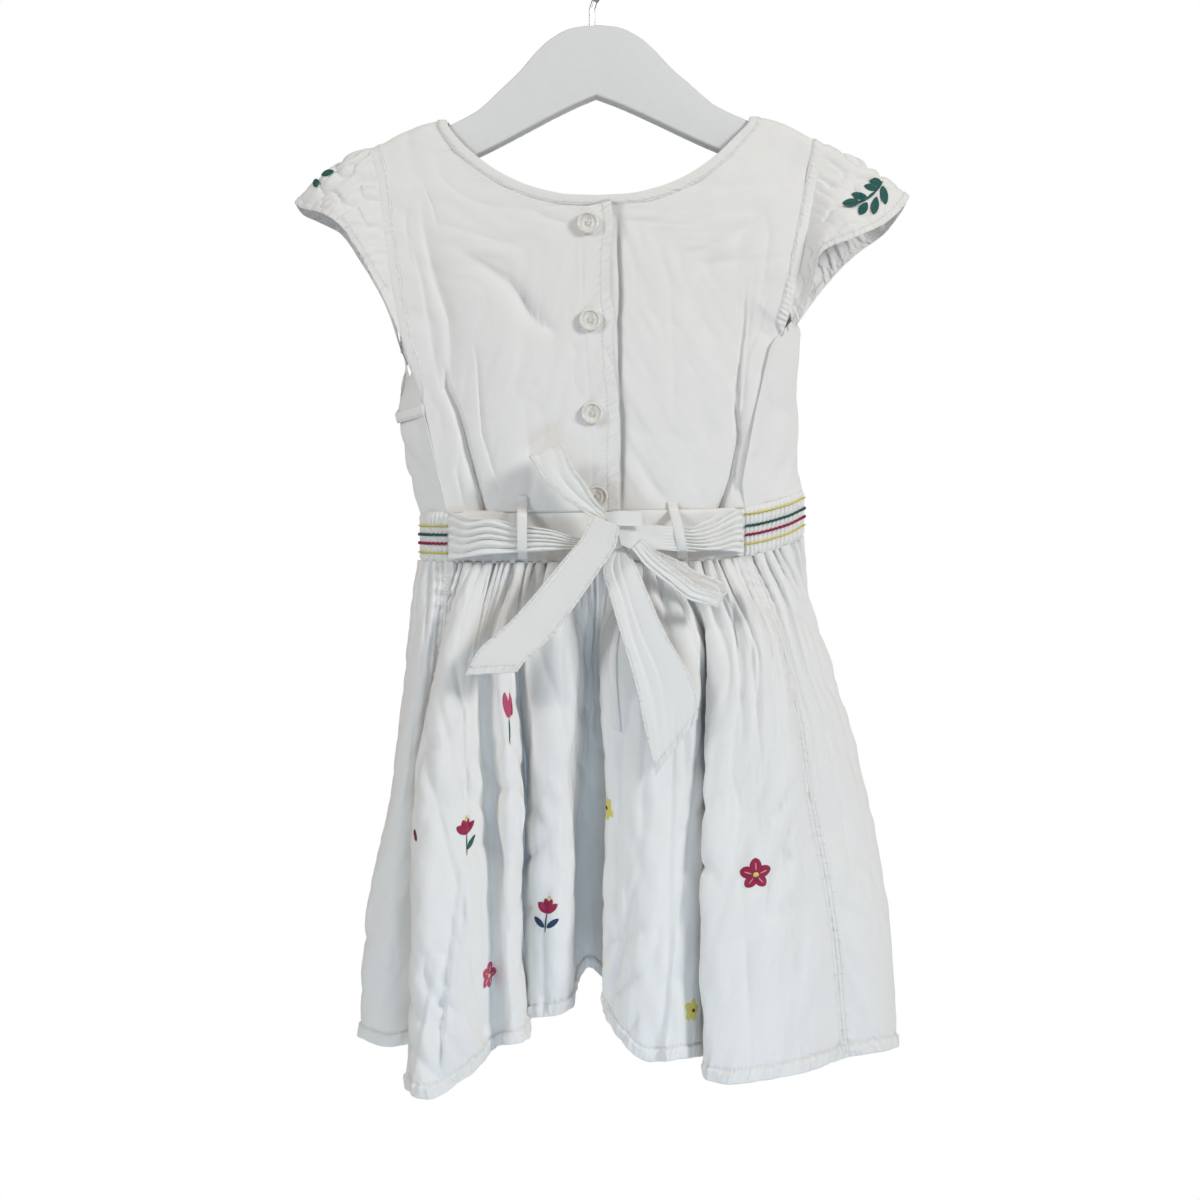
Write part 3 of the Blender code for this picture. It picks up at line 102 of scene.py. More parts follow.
FRONT_RIGHT_ROWS = (
    (87, 0.2, -1.8, 118.5, 0.2, 10.1, 127.5, 0.2, 13.4),
    (86.7, 5.4, -0.9, 118.2, 5.4, 11, 127.2, 5.4, 14.3),
    (86, 7.9, 2, 117.7, 7.9, 13.9, 126.6, 7.9, 17.2),
    (81, 10, 12.4, 117, 9.6, 27, 126, 9.2, 31),
    (69, 14, 28.3, 116, 12, 42.8, 124.6, 11, 46),
    (48.7, 18.5, 43.2, 115, 14, 61, 123, 13, 64),
    (24.2, 22, 51, 113, 15, 83.6, 121, 12.5, 86),
    (5.5, 23.5, 52.7, 110.5, 14, 103, 117, 9, 106),
    (5.5, 26.5, 101, 116, 0, 119, 104.5, -11.5, 119),
    (5.5, 28, 159, 114, 0, 169, 92.7, -14, 168),
    (5.5, 27, 217.2, 116.5, 0, 206.5, 83, -16, 216.8),
)
FRONT_BEND = ((1, 1), (0.45, 0.92), (0.1, 0.55), (0, 0))
FRONT_BEND_AT = (0, 0.42, 0.72, 0.84, 1)
BODICE_ROWS_AT = (0, 1, 2, 3, 4, 4.5, 5, 5.5, 6, 6.5, 7, 7.14, 7.5, 8, 8.5, 9, 10)
BODICE_ROWS_FINE = np.concatenate([np.linspace(0, 3, 14, endpoint=False),
                                   np.linspace(3, 8, 50, endpoint=False), np.linspace(8, 10, 56)])
SHOULDER_CROWN = (3.6, 3.6, 3, 0.8, 0)
# How far the front's edge stands over the back at the side seams: x, y, drop
FRONT_LIP = {"front_left": (-0.4, -0.4, 0), "front_right": (-4.4, -2.6, 0)}
PANEL_COLUMNS = 14
PANEL_COLUMNS_FINE = 92
BACK_COLUMNS_FINE = 170
DENSE = 120                # points across a row before its columns are set
MIN_SLANT = 0.55           # least sine between a row and the edge it meets

# Troughs (plus) and ridges (minus) in the bodice: half width, how far the hollow leans to
# one side of its line, then points of x, drop and depth.
BACK_LEFT_CREASES = (
    (3.4, -0.85, ((-82, 137, 0), (-80.5, 150, 2.8), (-74, 164, 4.4), (-66, 195, 5.4), (-59, 221, 5.4))),
    (7, 0.5, ((-97, 50, 0.4), (-94, 70, 1.8), (-89, 92, 2.8), (-81, 113, 3.4), (-81, 140, 1.6),
              (-79, 150, 0))),
    (2.4, 0.6, ((-66, 125, 0), (-64, 150, 1.3), (-62, 176, 1.6), (-55, 200, 0.8), (-52, 210, 0))),
    (9, -0.5, ((-76, 74, 0), (-58, 84, 1.9), (-46, 92, 2.5), (-35, 107, 3), (-25, 116, 2), (-18, 121, 0))),
    (2.6, -0.7, ((-48, 88, 0), (-40, 99, 1), (-33, 110, 1.2), (-24, 119, 0.5), (-20, 122, 0))),
    (2.2, 0, ((-17, 125, 0), (-10, 131, 0.8), (-5, 129, 0.3), (-2, 126, 0))),
    (2.2, 0.5, ((1.5, 127, 0), (6, 132, 0.7), (9.6, 140, 0.9))),
    (1.4, 0, ((-6.5, 62, 0.2), (-6.8, 90, 0.35), (-5.4, 122, 0.25), (-2.4, 160, 0.35), (-1, 205, 0.3))),
    (3, 0, ((-50, 151, 0), (-34, 149, 0.6), (-27, 156, 0))),
    (3.4, 0.4, ((-6, 62, 0.5), (-24, 58, 0.6), (-38, 50, 0))),
    (2.6, 0, ((-9, 112, 0.5), (-24, 105, 0.6), (-34, 100, 0))),
    (3, 0, ((-7, 166, 0.5), (-26, 176, 0.8), (-46, 190, 0))),
    (4, 0.5, ((-104, 62, 0), (-96, 92, 1), (-90, 128, 1.2), (-86, 150, 0.4))),
    (5, 0, ((-40, 150, 0), (-36, 180, 0.9), (-34, 214, 0.5))),
    (2, 0.6, ((-97, 34, 0), (-90, 50, 0.7), (-86, 66, 0))),
    (3, -0.5, ((-100, 40, 0), (-104, 56, 0.8), (-102, 76, 0.4), (-98, 90, 0))),
    (2, 0, ((-72, 178, 0), (-76, 196, 0.9), (-72, 216, 0.9))),
)
BACK_RIGHT_CREASES = (
    (4, -0.92, ((13, 56, 0.3), (14.1, 83, 2), (15.5, 100, 2.4), (13.8, 113, 1.4), (14.3, 133, 1.8),
                  (14.2, 151, 0.5), (15.5, 166, 1.5), (15.7, 184, 1.6), (15.2, 207, 0.8), (15, 216, 0.3))),
    (3.6, 0.85, ((83, 90, 0), (82, 112, 2), (79, 140, 3), (77, 160, 3.8), (79, 176, 4.2), (74, 200, 4.8),
                (68, 217, 4.8))),
    (2, 0.5, ((90, 74, 0), (86, 104, 0.8), (83.5, 140, 1), (80.5, 172, 1), (77, 206, 0.9))),
    (2.4, -0.6, ((97, 96, 0), (92, 116, 0.8), (87, 128, 1), (84, 134, 0.4), (79, 136, 0))),
    (8, 0.3, ((98, 38, 0), (88, 52, 1.2), (80, 66, 1.5), (78, 86, 0.4), (77, 96, 0))),
    (8, 0, ((70, 64, 0), (62, 82, 1.3), (54, 104, 0.9), (50, 130, 0))),
    (10, 0.3, ((70, 150, 0), (60, 176, 1.6), (52, 196, 1.4), (46, 214, 0.5))),
    (2.6, 0, ((24, 196, 0), (36, 208, 0.8), (46, 217, 0.6))),
    (3, 0.4, ((92, 46, 0), (96, 66, 0.9), (93, 92, 0.9), (89, 112, 0))),
    (3.4, 0, ((36, 66, 0), (42, 100, 0.6), (44, 150, 0.5), (42, 190, 0))),
)
FRONT_CREASES = (
    (5, 0, ((-84, 80, 0.5), (-74, 130, 3), (-66, 180, 4), (-62, 217, 4))),
    (5, 0, ((86, 75, 0.5), (78, 130, 3), (70, 180, 4), (66, 217, 4))),
    (8, 0, ((-30, 75, 0), (-24, 130, 2), (-20, 190, 0.5))),
    (8, 0, ((34, 80, 0), (28, 140, 2), (24, 200, 0.5))),
    (4, 0.3, ((-60, 62, 0), (-40, 88, 1), (-22, 118, 0.9), (-14, 140, 0))),
    (4, -0.3, ((64, 60, 0), (46, 84, 1), (30, 112, 0.8), (22, 138, 0))),
    (4, 0, ((-46, 140, 0), (-42, 180, 1.2), (-40, 216, 0.8))),
    (4, 0, ((50, 130, 0), (46, 178, 1.2), (44, 216, 0.8))),
    (3, 0, ((4, 110, 0), (2, 150, 0.8), (3, 214, 0.6))),
)

# The buttoned edge wanders from its straight line: drop, then how far to the right
BACK_EDGE_WANDER = ((46, -1.3), (60, 0), (72, -1.7), (98, -2.3), (113, -0.5), (122, -2.2), (140, -2.4),
                    (151, -1.2), (165, -0.9), (188, -2.4), (216, -3))

# ---------------------------------------------------------------- waist tables
# From the left side seam over the back to the right one, then round the front: x, y, top and bottom drop
WAIST_RIGHT_SEAM = 4       # the row of the ring at the right seam
WAIST_MIDDLE = (4, 3, 0)
WAIST_RING = (
    (-81, -15, 219.8, 246),
    (-55, -21, 219.6, 246.4),
    (2, -23.6, 219.6, 246.4),
    (50, -21.5, 218.9, 246),
    (83, -16, 217.2, 243),
    (107, -9, 211.5, 236.5),
    (116.8, 0, 207, 231),
    (105, 12, 211.5, 236.5),
    (66, 22, 217.8, 242),
    (1.5, 27, 217.8, 244),
    (-65, 22, 218.4, 244),
    (-92, 12, 218.8, 245),
    (-97.2, 0, 219.2, 245),
    (-92.5, -9, 219.6, 245.5),
    (-81, -15, 219.8, 246),
)
SMOCKING_RIBS = 116
SMOCKING_ROWS = 30         # points down the band
SMOCKING_RISE = 0.9        # height of a rib
# The four rows of thread: height in the band at its right end and at its left, colour, half thickness
THREAD_ROWS = (
    (0.15, 0.29, "thread_yellow", 0.60),
    (0.385, 0.46, "thread_teal", 0.82),
    (0.56, 0.63, "thread_magenta", 0.82),
    (0.74, 0.81, "thread_yellow", 0.60),
)

# ---------------------------------------------------------------- skirt tables
# One row for each fold line, ridge or trough: x at four levels, y at four levels, hem drop.
SKIRT_LEVELS = (301, 378, 445)
BACK_FOLD_LINES = (
    (-86, -93, -95, -95, -12, -8, -4, 0, 514),
    (-86, -97, -99, -100, -22, -34, -42, -46, 528),
    (-77, -84, -88, -88, -30, -44, -54, -60, 532),
    (-67, -71, -69, -69, -28, -42, -50, -52, 523),
    (-61, -57, -56, -54, -18, -20, -26, -28, 512),
    (-52, -46, -47, -44, -30, -36, -38, -38, 508),
    (-47, -40, -41, -36, -25, -29, -29, -30, 506),
    (-42, -38, -40, -38, -9, -6, -6, -8, 502),
    (-33, -31, -32, -32, -26, -24, -20, -16, 498),
    (-21, -20, -21, -23, -32, -28, -24, -18, 497),
    (-9, -12, -12, -13, -26, -18, -12, -8, 492),
    (-6, -9, -13, -12, -10, 6, 20, 24, 487),
    (-1, -1, -3, -3, -5, 14, 28, 32, 479),
    (4, 9, 9, 9, -9, 4, 14, 16, 486),
    (3, 8, 6, 6, -24, -22, -24, -26, 491),
    (13, 17, 17, 16, -36, -34, -38, -40, 506),
    (30, 33, 31, 30, -38, -40, -44, -46, 516),
    (48, 48, 47, 47, -34, -37, -43, -46, 514),
    (57.5, 57, 56, 57, -27, -29, -33, -36, 515),
    (62.5, 62, 61.5, 62.5, -15, -17, -20, -24, 516),
    (66, 64.5, 64, 66, -16, -22, -26, -30, 517.5),
    (62.3, 58.2, 56.3, 59.5, -29, -42, -49, -52, 523),
    (74, 70, 69, 72, -35, -46, -55, -58, 525),
    (87, 87, 89, 92, -38, -46, -54, -56, 523),
    (98, 104, 112, 117, -36, -42, -44, -42, 521),
    (105, 118, 130, 137, -28, -32, -30, -26, 518),
)
FRONT_FOLD_LINES = (
    BACK_FOLD_LINES[-1],
    (120, 138, 151, 158, -16, -18, -18, -16, 517),
    (132, 153, 165, 170, 2, 2, 2, 2, 517),
    (121, 140, 152, 158, 12, 14, 16, 16, 516.5),
    (110, 125, 134, 139, 27, 38, 46, 50, 517),
    (101, 113, 121, 126, 22, 24, 28, 30, 513),
    (85, 91, 98, 102, 32, 46, 58, 64, 514),
    (71, 74, 79, 82, 31, 42, 50, 52, 511),
    (62, 64, 68, 71, 22, 22, 25, 27, 507.5),
    (51, 52, 56, 59, 30, 38, 47, 52, 505),
    (39, 39, 42, 44, 26, 30, 36, 39, 500),
    (21, 18, 19, 19, 36, 51, 62, 66, 492),
    (3, 1, 0, -1, 31, 40, 48, 51, 482),
    (-14, -16, -18, -19, 35, 48, 58, 62, 483.5),
    (-29, -32, -35, -37, 25, 26, 29, 32, 487.5),
    (-43, -46, -50, -53, 33, 45, 55, 59, 495),
    (-60, -64, -69, -73, 30, 40, 48, 51, 502),
    (-74, -79, -86, -90, 22, 24, 28, 30, 506),
    (-90, -99, -108, -113, 24, 34, 44, 49, 510),
    (-101, -112, -123, -129, 12, 16, 20, 22, 511),
    (-105, -114, -128, -132, 0, 2, 4, 4, 512),
    (-95, -105, -112, -115, -15, -12, -10, -8, 516),
    BACK_FOLD_LINES[0],
)
# Spans shared out between the fold lines by their length, and points across a panel
BACK_SPANS = 96
FRONT_SPANS = 80
BACK_COLUMNS = 455
FRONT_COLUMNS = 420
SKIRT_ROWS = np.concatenate([np.linspace(0, 0.14, 22, endpoint=False),
                             np.linspace(0.14, 0.955, 66, endpoint=False), np.linspace(0.955, 1, 18)])
HEM_WIDTH = 7
HEM_STEP = 1.1             # how far the doubled hem stands out
TOPSTITCH = 6.5            # the "edges" map is scaled so that every row of stitches lies here
SKIRT_CUT = (330, 600, 275)      # a panel's width at the waist and at the hem, and its depth
# Pressed creases in the back skirt: half width, lean, points of x, drop, depth
SKIRT_CREASES = (
    (2.6, 0.8, ((-78, 298, 0), (-72, 330, 1.8), (-68, 400, 1))),
    (2.4, -0.7, ((-74, 350, 0), (-60, 356, 1.8), (-46, 364, 0))),
    (3, 0.7, ((-87, 316, 0), (-80, 345, 1.8), (-69, 386, 1), (-66, 410, 0))),
    (2.2, -0.6, ((-50, 348, 0), (-60, 372, 1.6), (-72, 396, 0))),
    (2.2, 0.6, ((-49, 366, 0), (-56, 396, 1.4), (-64, 430, 0.6), (-66, 450, 0))),
    (3, 0.5, ((96, 262, 0), (110, 276, 1.6), (122, 296, 0))),
    (2.6, 0.5, ((88, 280, 0), (104, 300, 1.3), (118, 312, 0))),
    (3, 0, ((102, 324, 0), (114, 326, 1.6), (128, 332, 0.2))),
    (3.2, 0.5, ((74, 258, 0.8), (77, 290, 2.6), (79, 325, 1), (80, 350, 0))),
    (2.6, -0.4, ((86, 260, 0.6), (86, 300, 1.4), (90, 350, 0.6), (92, 400, 0))),
    (4, 0.6, ((26, 262, 0.6), (28, 300, 1.6), (26, 360, 1.2), (24, 420, 0))),
    (3.4, -0.6, ((44, 300, 0), (43, 360, 1.6), (41, 430, 1.2), (40, 490, 0.4))),
    (3, 0.4, ((16, 350, 0), (14, 400, 1), (18, 450, 0.8), (22, 500, 0.4))),
    (4, 0.5, ((98, 380, 0), (104, 430, 1.8), (108, 500, 0.8))),
    (3.4, -0.4, ((80, 420, 0), (82, 470, 1.5), (84, 515, 1.2))),
    (2.6, 0.6, ((72, 356, 0), (78, 380, 1.3), (74, 405, 0.7), (80, 424, 0))),
    (2.2, 0.6, ((108, 352, 0), (114, 372, 1.3), (124, 384, 0))),
    (2.2, -0.6, ((96, 440, 0), (110, 452, 1.2), (122, 448, 0))),
    (2.4, 0.6, ((-68, 412, 0), (-73, 450, 2), (-80, 500, 2.2), (-84, 520, 0.8))),
    (3, 0, ((-25, 400, 0), (-27, 450, 1), (-28, 495, 0.8))),
    (2.2, 0.7, ((-41, 316, 0.6), (-41, 372, 1.8), (-42, 430, 2), (-40, 498, 1))),
    (2.4, -0.5, ((-94, 330, 0), (-96, 380, 1.4), (-100, 440, 1.6), (-99, 500, 0.8))),
    (2.2, 0.5, ((-104, 344, 0), (-110, 388, 1.2), (-118, 440, 1.2), (-122, 500, 0.5))),
)

# Pressed spikes: tip x, tip drop, left and right foot x, foot drop, height
SKIRT_WEDGES = (
    (-71, 405, -81, -69, 500, 6.4),
    (-82, 452, -99, -82, 526, 3.4),
    (46, 420, 36, 52, 512, 2.8),
    (-34, 330, -38, -28, 420, 2.2),
)

# The strip of the slit: width and length, and where its middle is seen
PLACKET = (5.2, 74)
PLACKET_AT = (9.08319, 300.88728)

# ---------------------------------------------------------------- sleeves
# armhole x, y, drop, then hem x, y, drop, then how far the cloth puffs between them
LEFT_SLEEVE = (
    (-106.2, -14.6, 124, -105.2, -14, 127, 0),
    (-111, -14.4, 101.5, -115.5, -17, 102.2, 1),
    (-115.2, -13.4, 76.7, -128, -20, 79.5, 2.5),
    (-118.4, -11.4, 54, -140, -20, 61.3, 3),
    (-121, -9.8, 37, -153, -14, 53, 3.6),
    (-124.8, -7.9, 19.4, -164, -6, 49, 4),
    (-125.6, 0, 15.4, -167.2, 0, 46.5, 4),
    (-124.8, 7.9, 19.4, -165, 8, 50, 4),
    (-123.5, 9.6, 35, -157, 15, 53.2, 4),
    (-121.5, 11.4, 50, -146, 20, 58, 3),
    (-119, 13.4, 72, -133.5, 20, 75, 2.5),
    (-115.6, 13, 97.5, -118.6, 16, 100, 1),
    (-108.4, 8.4, 129, -106.6, 7, 133, 0),
)
RIGHT_SLEEVE = (
    (107.8, -14.6, 108, 111, -11, 117, 0),
    (113, -14.4, 90, 118, -18, 100.5, 1),
    (117.4, -13.4, 68, 125, -24, 77, 3),
    (121, -11.4, 49.5, 143, -22, 68.8, 4.5),
    (124.2, -9.8, 34, 160.3, -13, 59.5, 3),
    (127.6, -7.9, 16.8, 172.6, -5, 48, 2.6),
    (128.6, 0, 12.9, 175.6, 0, 42.6, 2.2),
    (127.6, 7.9, 16.8, 174.4, 7, 46.8, 2.6),
    (127, 9.6, 31, 165.5, 16, 58.7, 3),
    (125.6, 11.4, 46, 152.6, 22, 67.9, 3),
    (124, 13.4, 64, 141.2, 22, 78.2, 3),
    (122, 13, 86, 128.2, 18, 92.5, 1.5),
    (114.6, 3, 110.5, 112.6, -1, 114.5, 0),
)
SLEEVE_CROWN = 4.6         # how far from its middle row a sleeve is gathered, in rows
SLEEVE_TUCK = 1.7          # how far a sleeve runs in under its armhole band
SLEEVE_FLUTTER = (1.2, 2.4)            # height of the hem's waves, radians to a row

# ---------------------------------------------------------------- sash
# one edge x, drop, other edge x, drop, depth y, crease depth
SASH_RUN_LEFT = (
    (-80.5, 219.5, -80.5, 245.2, -17.2, 0.8),
    (-75, 221, -75, 244.8, -20.4, 1),
    (-67, 223, -68, 244, -24.6, 1),
    (-57, 223.5, -57, 242.8, -27.5, 1),
    (-41, 227, -41, 241.8, -29, 0.9),
    (-24, 230, -24, 240.8, -31, 0.8),
    (-8, 234, -8, 239, -34.6, 0.4),
    (4.9, 229.5, 4.9, 234.5, -37.2, 0.2),
)
SASH_RUN_RIGHT = (
    (81.5, 217.6, 82.5, 242.4, -18.2, 0.8),
    (72, 219, 73, 240.5, -22.3, 1),
    (60, 224.5, 62, 240.6, -27, 1),
    (52, 228, 53, 240.8, -29.5, 0.8),
    (43, 228, 44.5, 240.8, -33, 0.25),
    (33, 227.2, 34, 240.4, -37.6, 0),
    (23, 227.4, 24, 241, -42, 0),
    (12, 227.8, 14, 238, -43.8, 0),
)
SASH_TAIL_LEFT = (
    (-1, 221.5, 13.6, 228.5, -44.4, 0),
    (-7, 234, 11.5, 238.5, -45.6, 0),
    (-16.8, 246, 5, 248.5, -46.6, 0),
    (-26.5, 257.8, -5, 263.4, -47.4, 0),
    (-45.3, 279.2, -22.7, 287, -48.4, 0),
    (-63, 295.6, -37.6, 301, -48.5, 0),
    (-69.5, 308.2, -41.5, 306.4, -48.5, 0),
)
SASH_TAIL_RIGHT = (
    (9.5, 240.7, 17.5, 238.5, -39.5, 0.6),
    (4.5, 252, 22.5, 249, -42, 1.2),
    (8, 264.5, 29, 264, -44, 1.7),
    (13, 282, 38.5, 286, -45, 1.8),
    (22, 313, 51.5, 308, -46, 1.5),
    (27.6, 340, 55.6, 322, -46.5, 0.9),
    (33, 362, 55.6, 331, -46.5, 0.4),
)
SASH_FLAP = (
    (5.6, 220.6, 6.2, 224, -42.6, 0),
    (14, 219.8, 13, 227.8, -46.4, 0),
    (25.6, 220.8, 26.2, 228, -45.6, 0),
)
# Lengthwise folds of a ribbon: share of its width at the knot and at its end, depth, half width in shares
TAIL_RIGHT_FOLDS = ((0.34, 0.16, 0.8, 0.07), (0.55, 0.36, 0.5, 0.06))
TAIL_LEFT_FOLDS = ((0.16, 0.06, 0.35, 0.03), (0.7, 0.5, 0.25, 0.2))
LOOP_FOLDS = ((0.74, 0.86, 1, 0.05), (0.42, 0.46, 0.6, 0.10))
# edge x, drop, edge x, drop, front y, back y, how far the far half stands above the near one
BOW_LOOP_UPPER = (
    (4.8, 226.2, 9, 222.4, -39.2, -36.6, 0),
    (-6.5, 219.5, 1.4, 214.8, -41.2, -34, 0.6),
    (-18, 211.5, -4.4, 205.6, -42.6, -34, 1.2),
    (-27, 202.6, -10.4, 197.4, -43.4, -34.5, 1.2),
    (-33, 193, -16, 186, -42.5, -35.5, 0.8),
)
BOW_LOOP_LOWER = (
    (25.6, 234.8, 19.8, 239.6, -44, -41, 0),
    (33.6, 243.4, 28.4, 250, -45.5, -38, 2.6),
    (46, 252.6, 41, 260, -47, -36.8, 6.2),
    (57, 260.4, 52, 268, -47.5, -36.6, 7.4),
    (68.4, 264, 63.8, 271, -45.5, -37.5, 6.6),
)
LOOP_ROWS = 40             # points along each half of a loop
KNOT_MIDDLE = (15.2, -38.6, 230.2)
KNOT_HALF = (9.4, 5, 9)
BELT_LOOPS = {
    "belt_loop_left": (-39.4, 210.5, -39.4, 245.6, 1),
    "belt_loop_right": (42.8, 213.5, 48.4, 245, 1.27),
}
BELT_LOOP_STAND = ((0, 0), (0.1, 0.3), (0.34, 9.6), (0.62, 10.2), (0.86, 8.6), (1, 0))
BELT_LOOP_WIDTH = 5
BUTTONS = ((-3.6, 61), (-2.4, 114.4), (-1.3, 165.4), (1.4, 211))
BUTTON_RADIUS = 6.1
BUTTON_THICK = 2.4

# ---------------------------------------------------------------- hanger
BOARD_TOP = ((0, -53.2), (12.6, -51.6), (24.4, -46), (33, -38.5), (41.5, -29),
             (53.5, -17.9), (66.5, -6.6), (81.5, 1), (100, 9.5), (124.5, 20.7),
             (132, 25.2), (136.5, 31), (137.6, 35.5))
BOARD_BOTTOM = ((0, -13.4), (12, -8.6), (61.9, 15.7), (118, 40), (130, 44.5),
                (136, 41), (137.6, 35.5))
BOARD_END = BOARD_TOP[-1]  # where the top and the bottom edge meet
BOARD_TILT = math.radians(1.3)
BOARD_THICK = 12
BOARD_EDGE = 1.6

# Embroidery, where it is seen: kind, x, drop, size, turn in degrees
BACK_MOTIFS = (
    ("bud", -46, 324.5, 13.5, 4), ("tulip one leaf", -67.6, 392, 14, 0), ("tulip", -26.4, 437.4, 13.4, 6),
    ("pink flower", -57, 471.5, 13, 20), ("magenta flower", 87.7, 414.4, 16.5, 0),
    ("yellow flower", 6, 380.6, 11.5, 30), ("red yellow flower", 54, 490, 12, 10),
    ("red leaf", -111.9, 388.7, 7, 60),
)
FRONT_MOTIFS = (
    ("magenta flower", 62, 330, 15, 12), ("tulip", 20, 372, 13, -6),
    ("yellow flower", -48, 348, 12, 24), ("pink flower", 92, 404, 11, 5),
    ("tulip", -76, 412, 12, 8), ("red yellow flower", -18, 430, 13, 40),
    ("magenta flower", -100, 452, 15, 0), ("bud", 48, 446, 11, -8),
    ("pink flower", 118, 470, 11, 15),
)
# Sleeve leaves: x, drop, length, width, turn in degrees from level
RIGHT_LEAVES = (
    (156.3, 35, 6.6, 4.2, -12), (153.6, 38.7, 7.8, 3.8, 8), (146.6, 43.9, 8.2, 3.7, 10),
    (141.8, 48.2, 9.4, 4.2, -8), (148.4, 51.6, 8.6, 4.4, -58), (155.5, 49.2, 10, 4, -78),
    (161.1, 42.5, 10.2, 4, 84),
)
LEAF_GROWTH = 1.12
STEM_WIDTH, STEM_WIDE = 0.9, 1.5       # stems on the skirt and on the sleeves
RIGHT_STEM = ((160.3, 34.6), (156.1, 40.9), (150.5, 46), (145.6, 47.8))
LEFT_LEAVES = ((-148.4, 30.3, 7.2, 3.5, -14), (-155, 35.6, 5.4, 3.4, 82))


# ================================================================ shape helpers
def tangents_of(slopes):
    """Tangents of a monotone cubic: harmonic means of neighbouring slopes, and zero at a turn."""
    product, total = slopes[1:] * slopes[:-1], slopes[1:] + slopes[:-1]
    inner = np.where(product > 0, 2 * product / np.where(total == 0, 1, total), 0)
    return np.concatenate([slopes[:1], inner, slopes[-1:]])


def hermite(t, width, low, high, low_slope, high_slope):
    """The cubic from one value to the next, at share t of the width between them."""
    return ((1 + 2 * t) * (1 - t) ** 2 * low + t * (1 - t) ** 2 * width * low_slope
            + t ** 2 * (3 - 2 * t) * high + t ** 2 * (t - 1) * width * high_slope)


def smooth(knots, values, at):
    """Monotone cubic through the values, which stand at the knots on the first axis."""
    knots, values, at = (np.asarray(part, float) for part in (knots, values, at))
    tail = (1,) * (values.ndim - 1)
    tangents = tangents_of(np.diff(values, axis=0) / np.diff(knots).reshape((-1,) + tail))
    span = np.clip(np.searchsorted(knots, at, side="right") - 1, 0, len(knots) - 2)
    width = (knots[span + 1] - knots[span]).reshape(at.shape + tail)
    t = (at - knots[span]).reshape(at.shape + tail) / width
    return hermite(t, width, values[span], values[span + 1], tangents[span], tangents[span + 1])


def smooth_down(knots, values, at):
    """The same cubic down many columns at once, each column with knots of its own."""
    width = np.diff(knots, axis=0)
    tangents = tangents_of(np.diff(values, axis=0) / width[..., None])
    span = np.clip((at[None] >= knots[1:, None, :]).sum(axis=0), 0, len(knots) - 2)
    column = np.arange(knots.shape[1])
    low, high = (span, column), (span + 1, column)
    step = width[low][..., None]
    t = (at - knots[low])[..., None] / step
    return hermite(t, step, values[low], values[high], tangents[low], tangents[high])


def unit(vectors):
    """Vectors at length one."""
    return vectors / np.maximum(np.linalg.norm(vectors, axis=-1, keepdims=True), 1e-9)


def runs(grid, axis):
    """Length of cloth run along one axis of a grid, from its first line of points."""
    steps = np.linalg.norm(np.diff(grid, axis=axis), axis=-1)
    start = np.zeros_like(np.take(steps, [0], axis=axis))
    return np.concatenate([start, np.cumsum(steps, axis=axis)], axis=axis)


def leans(grid, facing):
    """Unit normals of a grid, on the side where facing (a vector, or one a point) lies."""
    found = unit(np.cross(np.gradient(grid, axis=1), np.gradient(grid, axis=0)))
    return found if np.sum(found * facing) > 0 else -found


def to_world(points):
    """Points of x, y and drop in millimetres, as world metres."""
    points = np.asarray(points, float)
    return np.stack([points[..., 0] + MIDDLE_X, points[..., 1], -NECK_DROP - points[..., 2]], -1) / 1000


def ripples(u, v, seed, lengths, turn, count=14):
    """Sum of count sine waves of random length and phase, turned a little from straight across."""
    draw = np.random.default_rng(seed)
    total = np.zeros_like(u)
    for _ in range(count):
        angle, length, phase = draw.normal(0, turn), draw.uniform(*lengths), draw.uniform(0, 2 * math.pi)
        total += np.sin((u * math.cos(angle) + v * math.sin(angle)) * 2 * math.pi / length + phase)
    return total / math.sqrt(count)


def gathers(run, below, seed, widths, rises, reaches, slits):
    """Uneven gathers: round-topped ridges with sharp valleys, each of its own width and rise.

    Across, a gather is sin(pi * share) ** 0.6 less its mean; down, it fades as exp(-below / reach).
    Some valleys are narrow slits: -slits * exp(-(distance / 0.8) ** 2).
    """
    draw = np.random.default_rng(seed)
    edges = np.concatenate([[0], np.cumsum(draw.uniform(*widths, size=400))]) + run.min() - 1
    number = np.clip(np.searchsorted(edges, run, side="right") - 1, 0, 399)
    width = edges[number + 1] - edges[number]
    share = (run - edges[number]) / width
    middles = (edges[:-1] + edges[1:]) / 2
    rise = np.interp(run, middles, draw.uniform(*rises, size=400))
    reach = np.interp(run, middles, draw.uniform(*reaches, size=400))
    profile = np.sin(math.pi * np.clip(share, 0, 1)) ** 0.6 - 0.7
    slit = np.where(draw.uniform(size=401) < 0.5, draw.uniform(0.5, 1.4, size=401), 0.0) * slits
    near = np.where(share < 0.5, number, number + 1)
    away = np.where(share < 0.5, share, 1 - share) * width
    deep = slit[near] * np.exp(-(away / 0.8) ** 2) * np.exp(-below / (reach * 1.3))
    return profile * rise * np.exp(-below / reach) - deep


def crumple(u, v, seed, lengths, turn):
    """Pressed crumples: flat facets between sharp lines, 0.5 - exp(-2.2 |ripples|)."""
    return 0.5 - np.exp(-2.2 * np.abs(ripples(u, v, seed, lengths, turn, 9)))


